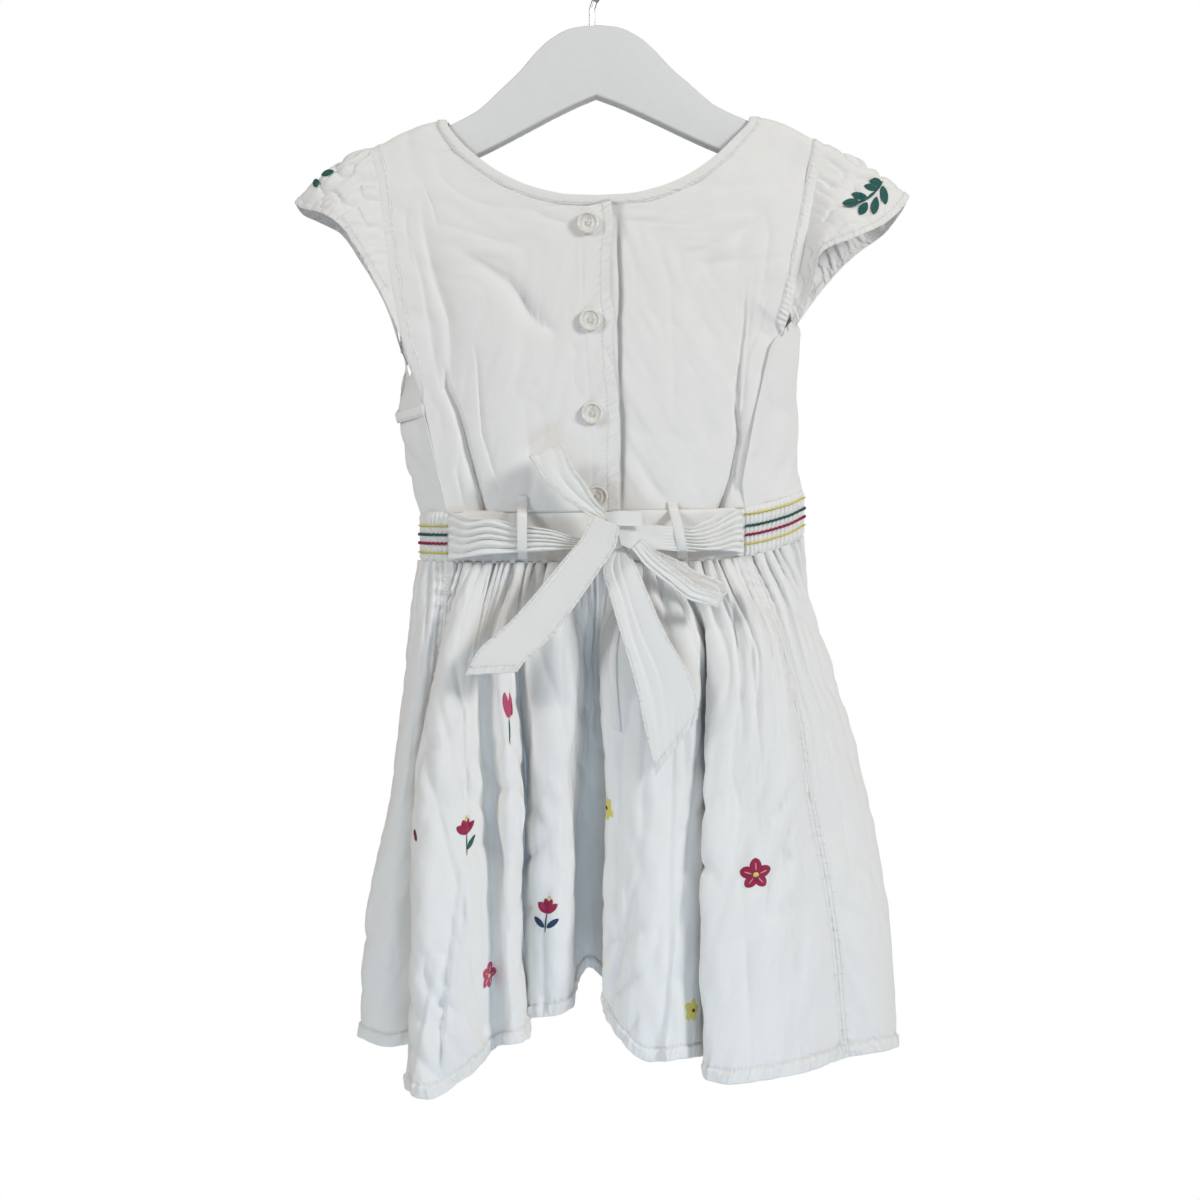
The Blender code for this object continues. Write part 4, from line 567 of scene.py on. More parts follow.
def wedge_rise(points, wedges):
    """Pressed spikes, tips up: height * share ** 0.7, steep on the left and sloping on the right."""
    rise = np.zeros(points.shape[:-1])
    for tip_x, tip_drop, left, right, foot, height in wedges:
        below = points[..., 2] - tip_drop
        share = np.clip(below / (foot - tip_drop), 0, 1)
        middle = tip_x + ((left + right) / 2 - tip_x) * share
        half = np.maximum((right - left) / 2 * share, 0.6)
        across = np.clip((points[..., 0] - middle) / half, -1, 1)
        fade = np.clip(below / 6, 0, 1) * np.clip((foot + 20 - points[..., 2]) / 22, 0, 1)
        rise += height * share ** 0.7 * (1 - across) / 2 * np.clip((across + 1) * 6, 0, 1) * fade
    return rise


def crease_depth(points, creases):
    """Depth of troughs: exp(-1.7 * distance) across each crease's line, steeper on its leaning side."""
    depth = np.zeros(points.shape[:-1])
    for half_width, lean, line in creases:
        line = np.asarray(line, float)
        nearest, best = np.full(depth.shape, np.inf), np.zeros(depth.shape)
        for start, end in zip(line[:-1], line[1:]):
            run = end[:2] - start[:2]
            offset = points[..., [0, 2]] - start[:2]
            share = np.clip((offset @ run) / (run @ run), 0, 1)
            away = offset - share[..., None] * run
            side = (away[..., 0] * run[1] - away[..., 1] * run[0]) / np.linalg.norm(run) / half_width
            distance = np.linalg.norm(away, axis=-1) / half_width
            fall = np.exp(1.7 * (CREASE_FOOT - np.sqrt(distance ** 2 + CREASE_FOOT ** 2)))
            here = (start[2] + share * (end[2] - start[2])) * fall * (1 + lean * np.tanh(side * 5))
            best = np.where(distance < nearest, here, best)
            nearest = np.minimum(nearest, distance)
        depth += best
    return depth


def lengths_along(points):
    """Distance run along a line of points, from its first point."""
    return np.concatenate([[0], np.cumsum(np.linalg.norm(np.diff(points, axis=0), axis=1))])


# ================================================================ materials
class Shading:
    """A node tree with short ways to add nodes; an input is fed a number, a colour or a socket."""

    def __init__(self, tree):
        """Takes the tree of a material or a node group."""
        self.nodes, self.links = tree.nodes, tree.links

    def feed(self, node, inputs):
        """Sets the inputs of a node, or links those whose value is a socket."""
        for name, value in inputs.items():
            if isinstance(value, bpy.types.NodeSocket):
                self.links.new(value, node.inputs[name])
            else:
                node.inputs[name].default_value = value

    def add(self, kind, inputs=(), **settings):
        """Adds a node, sets it up, then feeds its inputs."""
        node = self.nodes.new("ShaderNode" + kind)
        for name, value in settings.items():
            setattr(node, name, value)
        self.feed(node, dict(inputs))
        return node

    def op(self, operation, first, second=None):
        """A Math node of one or two values; gives its output."""
        values = {0: first} if second is None else {0: first, 1: second}
        return self.add("Math", values, operation=operation).outputs[0]

    def tint(self, share, *colours):
        """Mixes two colours by a share; gives the output."""
        first, second = ((*colour, 1) if isinstance(colour, tuple) else colour for colour in colours)
        return self.add("Mix", {0: share, 6: first, 7: second}, data_type="RGBA").outputs[2]

    def ramp(self, share, *stops):
        """A ramp between two stops, each a place and a colour; gives the output."""
        node = self.add("ValToRGB", {0: share})
        for element, (place, colour) in zip(node.color_ramp.elements, stops):
            element.position, element.color = place, (*colour, 1)
        return node.outputs[0]

    def noise(self, vector, scale, detail, distortion=0.0, **settings):
        """A noise texture; gives its output."""
        inputs = {"Vector": vector, "Scale": scale, "Detail": detail, "Distortion": distortion}
        return self.add("TexNoise", inputs, **settings).outputs[0]

    def cloth(self):
        """The cloth's own lengths, in millimetres."""
        return self.add("UVMap", uv_map="cloth").outputs[0]

    def relief(self, height, strength, distance):
        """A Bump node; gives its normal."""
        inputs = {"Height": height, "Strength": strength, "Distance": distance}
        return self.add("Bump", inputs).outputs[0]


def new_material(name):
    """An empty node material, its shading tree and its Principled shader."""
    made = bpy.data.materials.new(name)
    made.use_nodes = True
    return made, Shading(made.node_tree), made.node_tree.nodes["Principled BSDF"]


def new_group(name, inputs, outputs):
    """A node group with named sockets: the group, its tree, its input sockets and its output node."""
    group = bpy.data.node_groups.new(name, "ShaderNodeTree")
    for names, way in ((inputs, "INPUT"), (outputs, "OUTPUT")):
        for socket in names:
            kind = "NodeSocketVector" if socket == "Vector" else "NodeSocketFloat"
            group.interface.new_socket(socket, in_out=way, socket_type=kind)
    tree = Shading(group)
    return group, tree, tree.nodes.new("NodeGroupInput").outputs, tree.nodes.new("NodeGroupOutput")


def weave_group():
    """Plain weave in cloth millimetres: over-and-under height of warp and weft, and slubs of tint.

    Height is |sin u| where sin u * sin v is above zero and |sin v| elsewhere.
    """
    group, tree, given, out = new_group("plain_weave", ("Vector", "Threads"), ("Height", "Slub"))
    split = tree.add("SeparateXYZ", {0: given["Vector"]})
    waves = []
    for axis in (0, 1):
        scaled = tree.op("MULTIPLY", split.outputs[axis], given["Threads"])
        waves.append(tree.op("SINE", tree.op("MULTIPLY", scaled, math.pi)))
    over = tree.op("GREATER_THAN", tree.op("MULTIPLY", *waves), 0.0)
    height = tree.add("Mix", {0: over, 2: tree.op("ABSOLUTE", waves[1]), 3: tree.op("ABSOLUTE", waves[0])})
    tree.feed(out, {"Height": height.outputs[0], "Slub": tree.noise(given["Vector"], 0.35, 3.0)})
    return group


def crumple_group():
    """Fine pressed wrinkles in cloth millimetres: ridged noise, twice as long down as across."""
    group, tree, given, out = new_group("fine_wrinkles", ("Vector",), ("Height",))
    layers = []
    for across, down, distortion, share in ((1 / 22, 1 / 40, 0.8, 1.0), (1 / 9, 1 / 12, 0.5, 0.35)):
        stretch = tree.add("Mapping", {"Vector": given["Vector"], "Scale": (across, down, 1)})
        ridges = tree.noise(stretch.outputs[0], 1.0, 1.5, distortion, noise_type="RIDGED_MULTIFRACTAL")
        layers.append(tree.op("MULTIPLY", ridges, share))
    tree.feed(out, {"Height": tree.op("ADD", *layers)})
    return group


def stitch_group():
    """A row of stitches TOPSTITCH in from a sewn edge, in a ditch, with puckers up to the edge.

    Ditch is 1 / (1 + d ** 4), d the distance from the row over 0.6; dashes are sine waves 2.4 mm long.
    Painted Shade is the ditch less half the dashes: it darkens the cloth's colour in the ditch as painted
    shade.
    """
    group, tree, given, out = new_group("topstitched_edge", ("Away", "Along"), ("Height", "Mask"))
    op, away, along = tree.op, given["Away"], given["Along"]
    offset = op("MULTIPLY", op("SUBTRACT", away, TOPSTITCH), 1 / 0.6)
    ditch = op("DIVIDE", 1.0, op("ADD", op("POWER", op("ABSOLUTE", offset), 4.0), 1.0))
    wave = op("SINE", op("MULTIPLY", along, 2 * math.pi / STITCH_LENGTH))
    dash = op("MAXIMUM", op("MULTIPLY", op("ADD", wave, 0.5), ditch), 0.0)
    place = tree.add("CombineXYZ", {0: op("MULTIPLY", along, 0.34), 1: op("MULTIPLY", away, 0.05)})
    pucker = tree.noise(place.outputs[0], 1.0, 1.0)
    close = op("DIVIDE", 1.0, op("ADD", op("POWER", op("MULTIPLY", away, 1 / 9.5), 4.0), 1.0))
    puckered = op("MULTIPLY", op("MULTIPLY", op("SUBTRACT", pucker, 0.5), close), 1.6)
    height = op("ADD", op("ADD", op("MULTIPLY", ditch, -0.26), op("MULTIPLY", dash, 0.12)), puckered)
    tree.feed(out, {"Height": height, "Mask": op("SUBTRACT", ditch, op("MULTIPLY", dash, 0.5))})
    return group


WEAVE = weave_group()
WRINKLES = crumple_group()
STITCHES = stitch_group()
WHITE = (0.880, 0.872, 0.852)
OFF_WHITE = (0.850, 0.840, 0.815)


def cotton(name, crumpled, bump=0.12, light=WHITE, shade=OFF_WHITE):
    """Washed white cotton: two close tints in slubs, weave and fine wrinkles as bump, a little sheen, and
    painted shade in the stitch ditches.
    """
    made, tree, shader = new_material(name)
    cloth = tree.cloth()
    woven = tree.add("Group", {"Threads": 2.6, "Vector": cloth}, node_tree=WEAVE).outputs
    away = tree.add("SeparateXYZ", {0: tree.add("UVMap", uv_map="edges").outputs[0]}).outputs
    along = tree.add("SeparateXYZ", {0: cloth}).outputs
    sewn = [tree.add("Group", {"Away": away[side], "Along": along[1 - side]}, node_tree=STITCHES).outputs
            for side in (0, 1)]
    # painted shade: the stitch ditches are tinted towards dark beige, standing for the shade that falls in
    # them
    ditch = tree.op("MULTIPLY", tree.op("MAXIMUM", sewn[0]["Mask"], sewn[1]["Mask"]), 0.24)
    wrinkled = tree.add("Group", {"Vector": cloth}, node_tree=WRINKLES)
    height = tree.op("MULTIPLY", woven["Height"], bump * 0.2)
    for layer in (tree.op("MULTIPLY", woven["Slub"], bump * 0.5),
                  tree.op("MULTIPLY", wrinkled.outputs[0], crumpled), sewn[0]["Height"], sewn[1]["Height"]):
        height = tree.op("ADD", height, layer)
    tree.feed(shader, {
        "Base Color": tree.tint(ditch, tree.tint(woven["Slub"], shade, light), (0.66, 0.64, 0.60)),
        "Normal": tree.relief(height, 1.0, 0.001), "Roughness": 0.9, "Sheen Weight": 0.12,
        "Sheen Roughness": 0.5, "Specular IOR Level": 0.25})
    return made


def thread(name, colour, painted_groove_shade):
    """Glossy embroidery thread: fine strands across the stitch as bump, with painted shade darkening the
    grooves between them.
    """
    made, tree, shader = new_material(name)
    strands = tree.add("TexWave", {"Scale": 0.55, "Distortion": 1.5, "Detail": 2.0, "Vector": tree.cloth()})
    # painted shade: the grooves between strands take the darker colour
    tree.feed(shader, {"Base Color": tree.tint(strands.outputs[1], painted_groove_shade, colour), "Roughness": 0.5,
                       "Normal": tree.relief(strands.outputs[1], 0.5, 0.0003), "Sheen Weight": 0.04})
    return made


def pearl():
    """Pearly plastic: ivory clouded with two tints, glossy under a clear coat."""
    made, tree, shader = new_material("pearly_button")
    clouds = tree.noise(tree.add("TexCoord").outputs["Object"], 260.0, 3.0, 1.2)
    tree.feed(shader, {"Base Color": tree.ramp(clouds, (0.3, (0.76, 0.73, 0.66)), (0.7, (0.90, 0.885, 0.85))),
                       "Roughness": 0.22, "Coat Weight": 0.6, "Coat Roughness": 0.08})
    return made


def painted_wood():
    """White satin paint on wood: faint brush marks, and paint rubbed off along the top edge."""
    made, tree, shader = new_material("painted_board")
    marks = tree.noise(tree.cloth(), 0.16, 4.0)
    paint = tree.tint(marks, (0.77, 0.785, 0.785), (0.82, 0.83, 0.83))
    wear = tree.add("Attribute", attribute_name="wear").outputs["Fac"]
    tree.feed(shader, {"Base Color": tree.tint(wear, paint, (0.42, 0.31, 0.20)), "Roughness": 0.42,
                       "Normal": tree.relief(marks, 0.08, 0.0004), "Coat Weight": 0.12,
                       "Coat Roughness": 0.25})
    return made


def steel():
    """Drawn steel wire: bright metal with fine marks along it."""
    made, tree, shader = new_material("drawn_steel")
    place = tree.add("TexCoord").outputs["Object"]
    marks = tree.noise(tree.add("Mapping", {"Vector": place, "Scale": (900, 900, 40)}).outputs[0], 1.0, 3.0)
    tree.feed(shader, {"Base Color": tree.ramp(marks, (0.0, (0.30, 0.30, 0.31)), (1.0, (0.62, 0.62, 0.62))),
                       "Metallic": 1.0, "Roughness": 0.32})
    return made


# Each thread's colour, and the darker colour painted between its strands as shade
THREADS = {
    "thread_white": ((0.86, 0.85, 0.83), (0.72, 0.71, 0.68)),
    "thread_teal": ((0.004, 0.14, 0.11), (0.001, 0.06, 0.055)),
    "thread_navy": ((0.008, 0.055, 0.14), (0.002, 0.018, 0.06)),
    "thread_magenta": ((0.45, 0.005, 0.075), (0.24, 0.002, 0.04)),
    "thread_pink": ((0.66, 0.09, 0.20), (0.42, 0.04, 0.11)),
    "thread_blush": ((0.85, 0.58, 0.50), (0.75, 0.48, 0.42)),
    "thread_red": ((0.30, 0.010, 0.035), (0.12, 0.004, 0.015)),
    "thread_yellow": ((0.87, 0.79, 0.19), (0.66, 0.56, 0.10)),
}
FINISHES = {
    "cotton": cotton("white_cotton", 0.8),
    "sleeve": cotton("gathered_cotton", 1.3),
    "bodice": cotton("pressed_white_cotton", 0.34),
    "band": cotton("folded_cotton", 0.15, 0.16),
    "sash": cotton("pressed_cotton", 0.2, 0.08, (0.87, 0.865, 0.84), (0.84, 0.833, 0.805)),
    "smocked": cotton("smocked_cotton", 0.1, 0.16),
    **{name: thread(name, *colours) for name, colours in THREADS.items()},
    "pearl": pearl(), "paint": painted_wood(), "steel": steel(),
}


# ================================================================ meshes
def add_grid(name, grids, finishes, facings, wall=0.0, holes=None, uv=None, edges=None):
    """One object from one or more grids, each with its finish and the side that faces out.

    The cloth's own lengths, in millimetres, are its UV map, unless uv gives them. wall thickens it inwards.
    """
    points, faces, uvs, slots, sewn = [], [], [], [], []
    count = 0
    for index, (grid, facing) in enumerate(zip(grids, facings)):
        rows, columns = grid.shape[:2]
        row, column = np.meshgrid(np.arange(rows - 1), np.arange(columns - 1), indexing="ij")
        first = row * columns + column
        quads = np.stack([first, first + columns, first + columns + 1, first + 1], -1)
        if holes is not None:
            quads = quads[~holes]
        quads = quads.reshape(-1, 4)
        world = to_world(grid).reshape(-1, 3)
        across = np.cross(world[quads[:, 2]] - world[quads[:, 0]], world[quads[:, 3]] - world[quads[:, 1]])
        outward = np.broadcast_to(facing, grid.shape).reshape(-1, 3)[quads[:, 0]] * (1, 1, -1)
        if np.sum(unit(across) * outward) < 0:
            quads = quads[:, ::-1]
        lengths = np.stack([runs(grid, 1), runs(grid, 0)], -1) if uv is None else uv
        points.append(world)
        faces.append(quads + count)
        uvs.append(lengths.reshape(-1, 2))
        sewn.append(np.full((len(world), 2), UNSEWN) if edges is None else edges.reshape(-1, 2))
        slots.append(np.full(len(quads), index))
        count += len(world)
    points, faces, uvs, sewn = (np.concatenate(part) for part in (points, faces, uvs, sewn))
    mesh = bpy.data.meshes.new(name)
    mesh.from_pydata(points.tolist(), [], faces.tolist())
    mesh.uv_layers.new(name="cloth").data.foreach_set("uv", uvs[faces.ravel()].ravel())
    mesh.uv_layers.new(name="edges").data.foreach_set("uv", sewn[faces.ravel()].ravel())
    names = list(dict.fromkeys(finishes))
    for finish in names:
        mesh.materials.append(FINISHES[finish])
    lookup = np.array([names.index(finish) for finish in finishes])
    mesh.polygons.foreach_set("material_index", lookup[np.concatenate(slots)])
    mesh.shade_smooth()
    piece = bpy.data.objects.new(name, mesh)
    bpy.context.scene.collection.objects.link(piece)
    if wall:
        thick = piece.modifiers.new("wall", "SOLIDIFY")
        thick.thickness = wall / 1000
        thick.offset = -1.0
    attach(piece, "root")
    return piece


def area(grid):
    """Area of a grid, in square millimetres."""
    one, two = grid[1:, 1:] - grid[:-1, :-1], grid[1:, :-1] - grid[:-1, 1:]
    return np.linalg.norm(np.cross(one, two), axis=-1).sum() / 2


# Cut sizes in millimetres of what shows: width, length. A narrow strip has the least width of a sheet.
STRIP = 10.2
CUTS = {
    "bodice_back_left": (144, 164), "bodice_back_right": (133, 171), "bodice_front": (300, 260),
    "neck_binding": (502, STRIP), "armhole_band_left": (330, STRIP), "armhole_band_right": (263, STRIP),
    "sleeve_left": (282, 22), "sleeve_right": (233, 29), "waistband_back": (166, 30),
    "waistband_front": (354, 27), "skirt_back": (600, 275), "skirt_front": (650, 275),
    "placket": (STRIP, 60), "sash_knot": (45, 18), "sash_run_left": (42, 56), "sash_run_right": (60, 38),
    "sash_tail_left": (28, 77), "sash_tail_right": (38, 75), "sash_flap": (STRIP, 19),
    "bow_loop_upper": (20, 82), "bow_loop_lower": (13, 92), "belt_loop_left": (STRIP, 45),
    "belt_loop_right": (STRIP, 47),
}


def add_cloth(name, node, grid, finish, facing,
              wall=CLOTH, holes=None, uv=None, edges=None, shown=None):
    """A cloth piece that stands for a solid, which it hides; its shown area, capped by its cut size, is
    worked out but not used.
    """
    piece = add_grid(name, [grid], [finish], [facing], wall, holes, uv, edges)
    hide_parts(node)
    wide, deep = CUTS[node]
    shown = min(area(grid) if shown is None else shown, wide * deep) / 1e6
    return piece


# ================================================================ bodice
def even_columns(lines, rows, columns_at):
    """Sets each row's columns by length, with a band's width kept at both ends."""
    spaced = []
    for number, line in enumerate(lines):
        run = lengths_along(line)
        slant = 1 / MIN_SLANT
        if number < NECK_ROW:
            along = unit(rows[number + 1, :3] - rows[max(number - 1, 0), :3])
            across = unit(rows[number, -3:] - rows[number, :3])
            slant = 1 / max(np.linalg.norm(np.cross(along, across)), MIN_SLANT)
        at = np.concatenate([[0], np.linspace(BAND_WIDTH * slant, run[-1] - BAND_WIDTH, PANEL_COLUMNS - 2),
                             [run[-1]]])
        at = np.interp(columns_at, np.arange(PANEL_COLUMNS), at)
        spaced.append(np.stack([np.interp(at, run, line[:, k]) for k in range(3)], -1))
    return np.array(spaced)


def waist_path(first, last, count):
    """Points of the waist ring between two of its named rows, evenly spaced."""
    ring = np.asarray(WAIST_RING, float)
    run = lengths_along(ring[:, :2])
    return smooth(run, ring, np.linspace(run[first], run[last], count))


def wander(drops):
    """How far the buttoned edge wanders at each drop."""
    table = np.array(BACK_EDGE_WANDER, float)
    return smooth(table[:, 0], table[:, 1], np.clip(drops, 46, 216))


BODICE = {"back_left": (BACK_LEFT_ROWS, BACK_LEFT_CREASES),
          "back_right": (BACK_RIGHT_ROWS, BACK_RIGHT_CREASES),
          "front_left": (FRONT_LEFT_ROWS, FRONT_CREASES), "front_right": (FRONT_RIGHT_ROWS, FRONT_CREASES)}


def panel(name, rows_at, columns_at):
    """A quarter of the bodice from its table: across each row first, then smoothly down the rows."""
    front = name.startswith("front")
    rows, creases = np.asarray(BODICE[name][0], float), BODICE[name][1]
    inner, outer = rows[:, :3], rows[:, -3:]
    if front:
        side, lines = rows[:, 3:6], []
        for along, deep in FRONT_BEND:
            bend = side + (inner - side) * along
            bend[:, 1] = side[:, 1] + (inner[:, 1] - side[:, 1]) * deep
            lines.append(bend)
    else:
        middle = (inner + outer) / 2
        middle[:, 1] = inner[:, 1] * 0.93 + outer[:, 1] * 0.07
        middle[:3, 1] = inner[:3, 1]
        lines = [inner, middle]
    bends_at = FRONT_BEND_AT if front else (0, 0.5, 1)
    across = smooth(bends_at, np.stack(lines + [outer]), np.linspace(0, 1, DENSE))
    grid = smooth(range(len(rows)), even_columns(across.transpose(1, 0, 2), rows, columns_at), rows_at)
    if name == "back_left":
        from_edge = grid[..., 0] - grid[:, :1, 0]
        grid[..., 0] += wander(grid[..., 2]) * np.exp(-(from_edge / 9) ** 2)
    toward = 1 if front else -1
    grid[..., 1] -= toward * crease_depth(grid, creases) * np.clip(toward * grid[..., 1] / 14, 0, 1)
    ring = waist_path(0, len(WAIST_RING) - 1, 400)
    nearest = np.argmin((ring[None, :, 0] - grid[-1, :, None, 0]) ** 2
                        + (ring[None, :, 1] - grid[-1, :, None, 1]) ** 2, axis=1)
    settle = np.clip((np.asarray(rows_at) - 9) / 1.0, 0, 1)[:, None] ** 2
    grid[..., 2] += (ring[nearest, 2] - grid[-1, :, 2]) * settle
    rise = np.interp(rows_at, range(len(SHOULDER_CROWN)), SHOULDER_CROWN)
    share = (grid[..., 0] - grid[:, :1, 0]) / (grid[:, -1:, 0] - grid[:, :1, 0])
    grid[..., 2] -= rise[:, None] * np.sin(math.pi * np.clip(share, 0, 1) ** 0.8)
    return grid


def bodice_panels(rows_at, columns_at):
    """Grids and normals of the four quarters of the bodice, which share their seams."""
    panels = {name: panel(name, rows_at, columns_at) for name in BODICE}
    below = np.asarray(rows_at) >= SIDE_SEAM_ROW
    for side in ("left", "right"):
        panels["front_" + side][below, -1] = panels["back_" + side][below, -1]
    found = {}
    for name, grid in panels.items():
        found[name] = leans(grid, BACKWARD if name.startswith("back") else -BACKWARD)
        found[name][0, :, 1] = 0
        found[name][0] = unit(found[name][0]) * np.sign(-found[name][0, :, 2:3])
    return panels, found


def wrinkle(grid, lean, seed, rise, lengths):
    """Fine wrinkles: random waves along the cloth, stronger in patches."""
    u, v = runs(grid, 1), runs(grid, 0)
    patch = 0.5 + 0.5 * np.tanh(ripples(u, v, seed + 1, (50, 120), 1.2, 6))
    return grid + lean * (ripples(u, v, seed, lengths, 0.35) * rise * (0.35 + patch))[..., None]


def build_bodice():
    """Two back panels buttoned left over right, and one front that wraps both sides; gives the backs."""
    backs, back_leans = bodice_panels(BODICE_ROWS_FINE, np.linspace(0, PANEL_COLUMNS - 1, BACK_COLUMNS_FINE))
    for name, seed in (("back_left", 3), ("back_right", 5)):
        grid = backs[name]
        u, v = runs(grid, 1), runs(grid, 0)
        free = np.clip(np.minimum(u, u[:, -1:] - u) / 8, 0, 1) * np.clip(np.minimum(v, v[-1:] - v) / 10, 0, 1)
        pressed = 0.65 * crumple(u, v, seed + 8, (34, 100), 0.6) + 0.22 * ripples(u, v, seed, (10, 34), 0.8)
        backs[name] = grid + back_leans[name] * (pressed * free)[..., None]
        edges = np.stack([u + UNSEWN * (name == "back_right"), np.full(u.shape, UNSEWN)], -1)
        add_cloth("bodice_" + name + "_cloth", "bodice_" + name, backs[name], "bodice", BACKWARD,
                  edges=edges)
    columns_at = np.linspace(0, PANEL_COLUMNS - 1, PANEL_COLUMNS_FINE)
    panels, lean = bodice_panels(BODICE_ROWS_FINE, columns_at)
    edge = np.exp(-((columns_at - (PANEL_COLUMNS - 1)) * 1.1) ** 2)
    below = np.clip((BODICE_ROWS_FINE - SIDE_SEAM_ROW) / 0.25, 0, 1)
    below = below * np.clip((10 - BODICE_ROWS_FINE) / 0.3, 0, 1)
    halves = []
    for name, lip in FRONT_LIP.items():
        grid = panels[name] + np.array(lip) * (edge * below[:, None])[..., None]
        u, v = runs(grid, 1), runs(grid, 0)
        free = np.clip((u[:, -1:] - u) / 5, 0, 1) * np.clip(np.minimum(v, v[-1:] - v) / 10, 0, 1)
        grid = grid + lean[name] * (1.6 * crumple(u, v, 19, (22, 70), 1.0) * free)[..., None]
        halves.append(wrinkle(grid, lean[name], 7, 0.3, (9, 30)))
    bridge = np.linspace(0, 1, 6)[1:-1, None]
    joined = halves[0][:, :1] * (1 - bridge) + halves[1][:, :1] * bridge
    grid = np.concatenate([halves[0][:, ::-1], joined, halves[1]], axis=1)
    facing = np.concatenate([lean["front_left"][:, ::-1], np.repeat(lean["front_left"][:, :1], 4, axis=1),
                             lean["front_right"]], axis=1)
    holes = np.zeros((grid.shape[0] - 1, grid.shape[1] - 1), bool)
    neck = int(np.argmin(np.abs(BODICE_ROWS_FINE - NECK_ROW)))
    holes[:neck, PANEL_COLUMNS_FINE - 1:PANEL_COLUMNS_FINE + 4] = True
    add_cloth("bodice_front_cloth", "bodice_front", grid, "bodice", facing,
              holes=holes, shown=area(halves[0]) + area(halves[1]))
    return backs, back_leans


# A band's section: distance in from the cloth's edge, height above the cloth
BAND_SECTION = ((0.6, -0.9), (-0.2, -0.8), (-0.45, -0.3), (-0.35, 0.2), (0.1, 0.45), (1.2, 0.55),
                (2.6, 0.6), (4.0, 0.6), (5.2, 0.5), (5.8, 0.2), (6.0, -0.4))


def build_band(node, edge, edge_lean, inset, inset_lean, points, seed, pucker):
    """A bias band folded over an edge: its section carried along the edge, with puckers across it."""
    at = np.linspace(0, len(edge) - 1, points)
    edge, edge_lean, inset, inset_lean = (smooth(range(len(line)), line, at)
                                          for line in (edge, edge_lean, inset, inset_lean))
    inward, height = np.array(BAND_SECTION).T
    share = (inward / BAND_WIDTH)[:, None, None]
    grid = edge + (inset - edge) * share
    share = np.clip(share, 0, 1)
    lean = unit(unit(edge_lean) * (1 - share) + unit(inset_lean) * share)
    run = lengths_along(edge)
    draw = np.random.default_rng(seed)
    wave = np.sin(run * 2 * math.pi / 3.1 + 2.2 * np.sin(run / 9.0 + draw.uniform(0, 6)))
    wave = wave * (0.5 + 0.5 * np.sin(run / 13.0 + 1.0)) * pucker
    top = np.clip(height, 0, 0.6) / 0.6
    grid = grid + lean * (SEAM_GAP + height[:, None] + wave[None, :] * top[:, None])[..., None]
    within = inward[:, None] + 0 * run[None, :]
    edges = np.stack([np.full(within.shape, UNSEWN), (BAND_WIDTH - within) * 5.0], -1)
    add_cloth(node + "_cloth", node, grid, "band", lean, wall=THIN_CLOTH, edges=edges,
              uv=np.stack([run[None, :] + 0 * within, within], -1))


# The left armhole's band folds out to a corner under the arm: edge, its normal, inset, its normal
UNDERARM_HOOK = (
    ((-104.6, 6.0, 149.0), (-0.9, -0.3, 0.0), (-108.6, 4.0, 152.0), (-0.9, -0.3, 0.0)),
    ((-111.0, -0.5, 163.5), (-0.8, -0.6, 0.0), (-109.6, -1.6, 169.0), (-0.8, -0.6, 0.0)),
    ((-94.4, -12.5, 160.0), (-0.4, -0.9, 0.0), (-93.6, -12.9, 166.0), (-0.4, -0.9, 0.0)),
)


def build_bands():
    """The neck binding from back edge to back edge, and a band round each armhole."""
    panels, lean = bodice_panels(BODICE_ROWS_AT, np.arange(PANEL_COLUMNS))
    rows = BODICE_ROWS_AT.index(NECK_ROW) + 1
    order = (("back_left", -1), ("front_left", 1), ("front_right", -1), ("back_right", 1))

    def along(source, column):
        """One column of every quarter, joined from back edge to back edge."""
        lines = []
        for number, (name, step) in enumerate(order):
            line = source[name][:rows, column].copy()
            if column:
                line[-1] = source[name][rows, 0]
            lines.append(line[::step][1:] if number in (1, 3) else line[::step])
        return np.concatenate(lines)

    build_band("neck_binding", along(panels, 0), along(lean, 0), along(panels, 1), along(lean, 1), 520, 2,
               0.12)
    corner_row = BODICE_ROWS_AT.index(SIDE_SEAM_ROW)
    for side in ("left", "right"):
        lines = []
        for column in (-1, -2):
            for source in (panels, lean):
                back, front = source["back_" + side].copy(), source["front_" + side].copy()
                if column == -2 and source is panels:
                    corner = back[corner_row, -1]
                    down = unit(back[corner_row + 1, -1] - corner)
                    back[corner_row, -2] = front[corner_row, -2] = corner + down * BAND_WIDTH * 0.45
                line = np.concatenate([back[:corner_row + 1, column][::-1], front[1:corner_row + 1, column]])
                if side == "left":
                    line = np.concatenate([line[:-2], np.array(UNDERARM_HOOK, float)[:, len(lines)]])
                lines.append(line)
        build_band("armhole_band_" + side, *lines, 380, 4, 0.28)


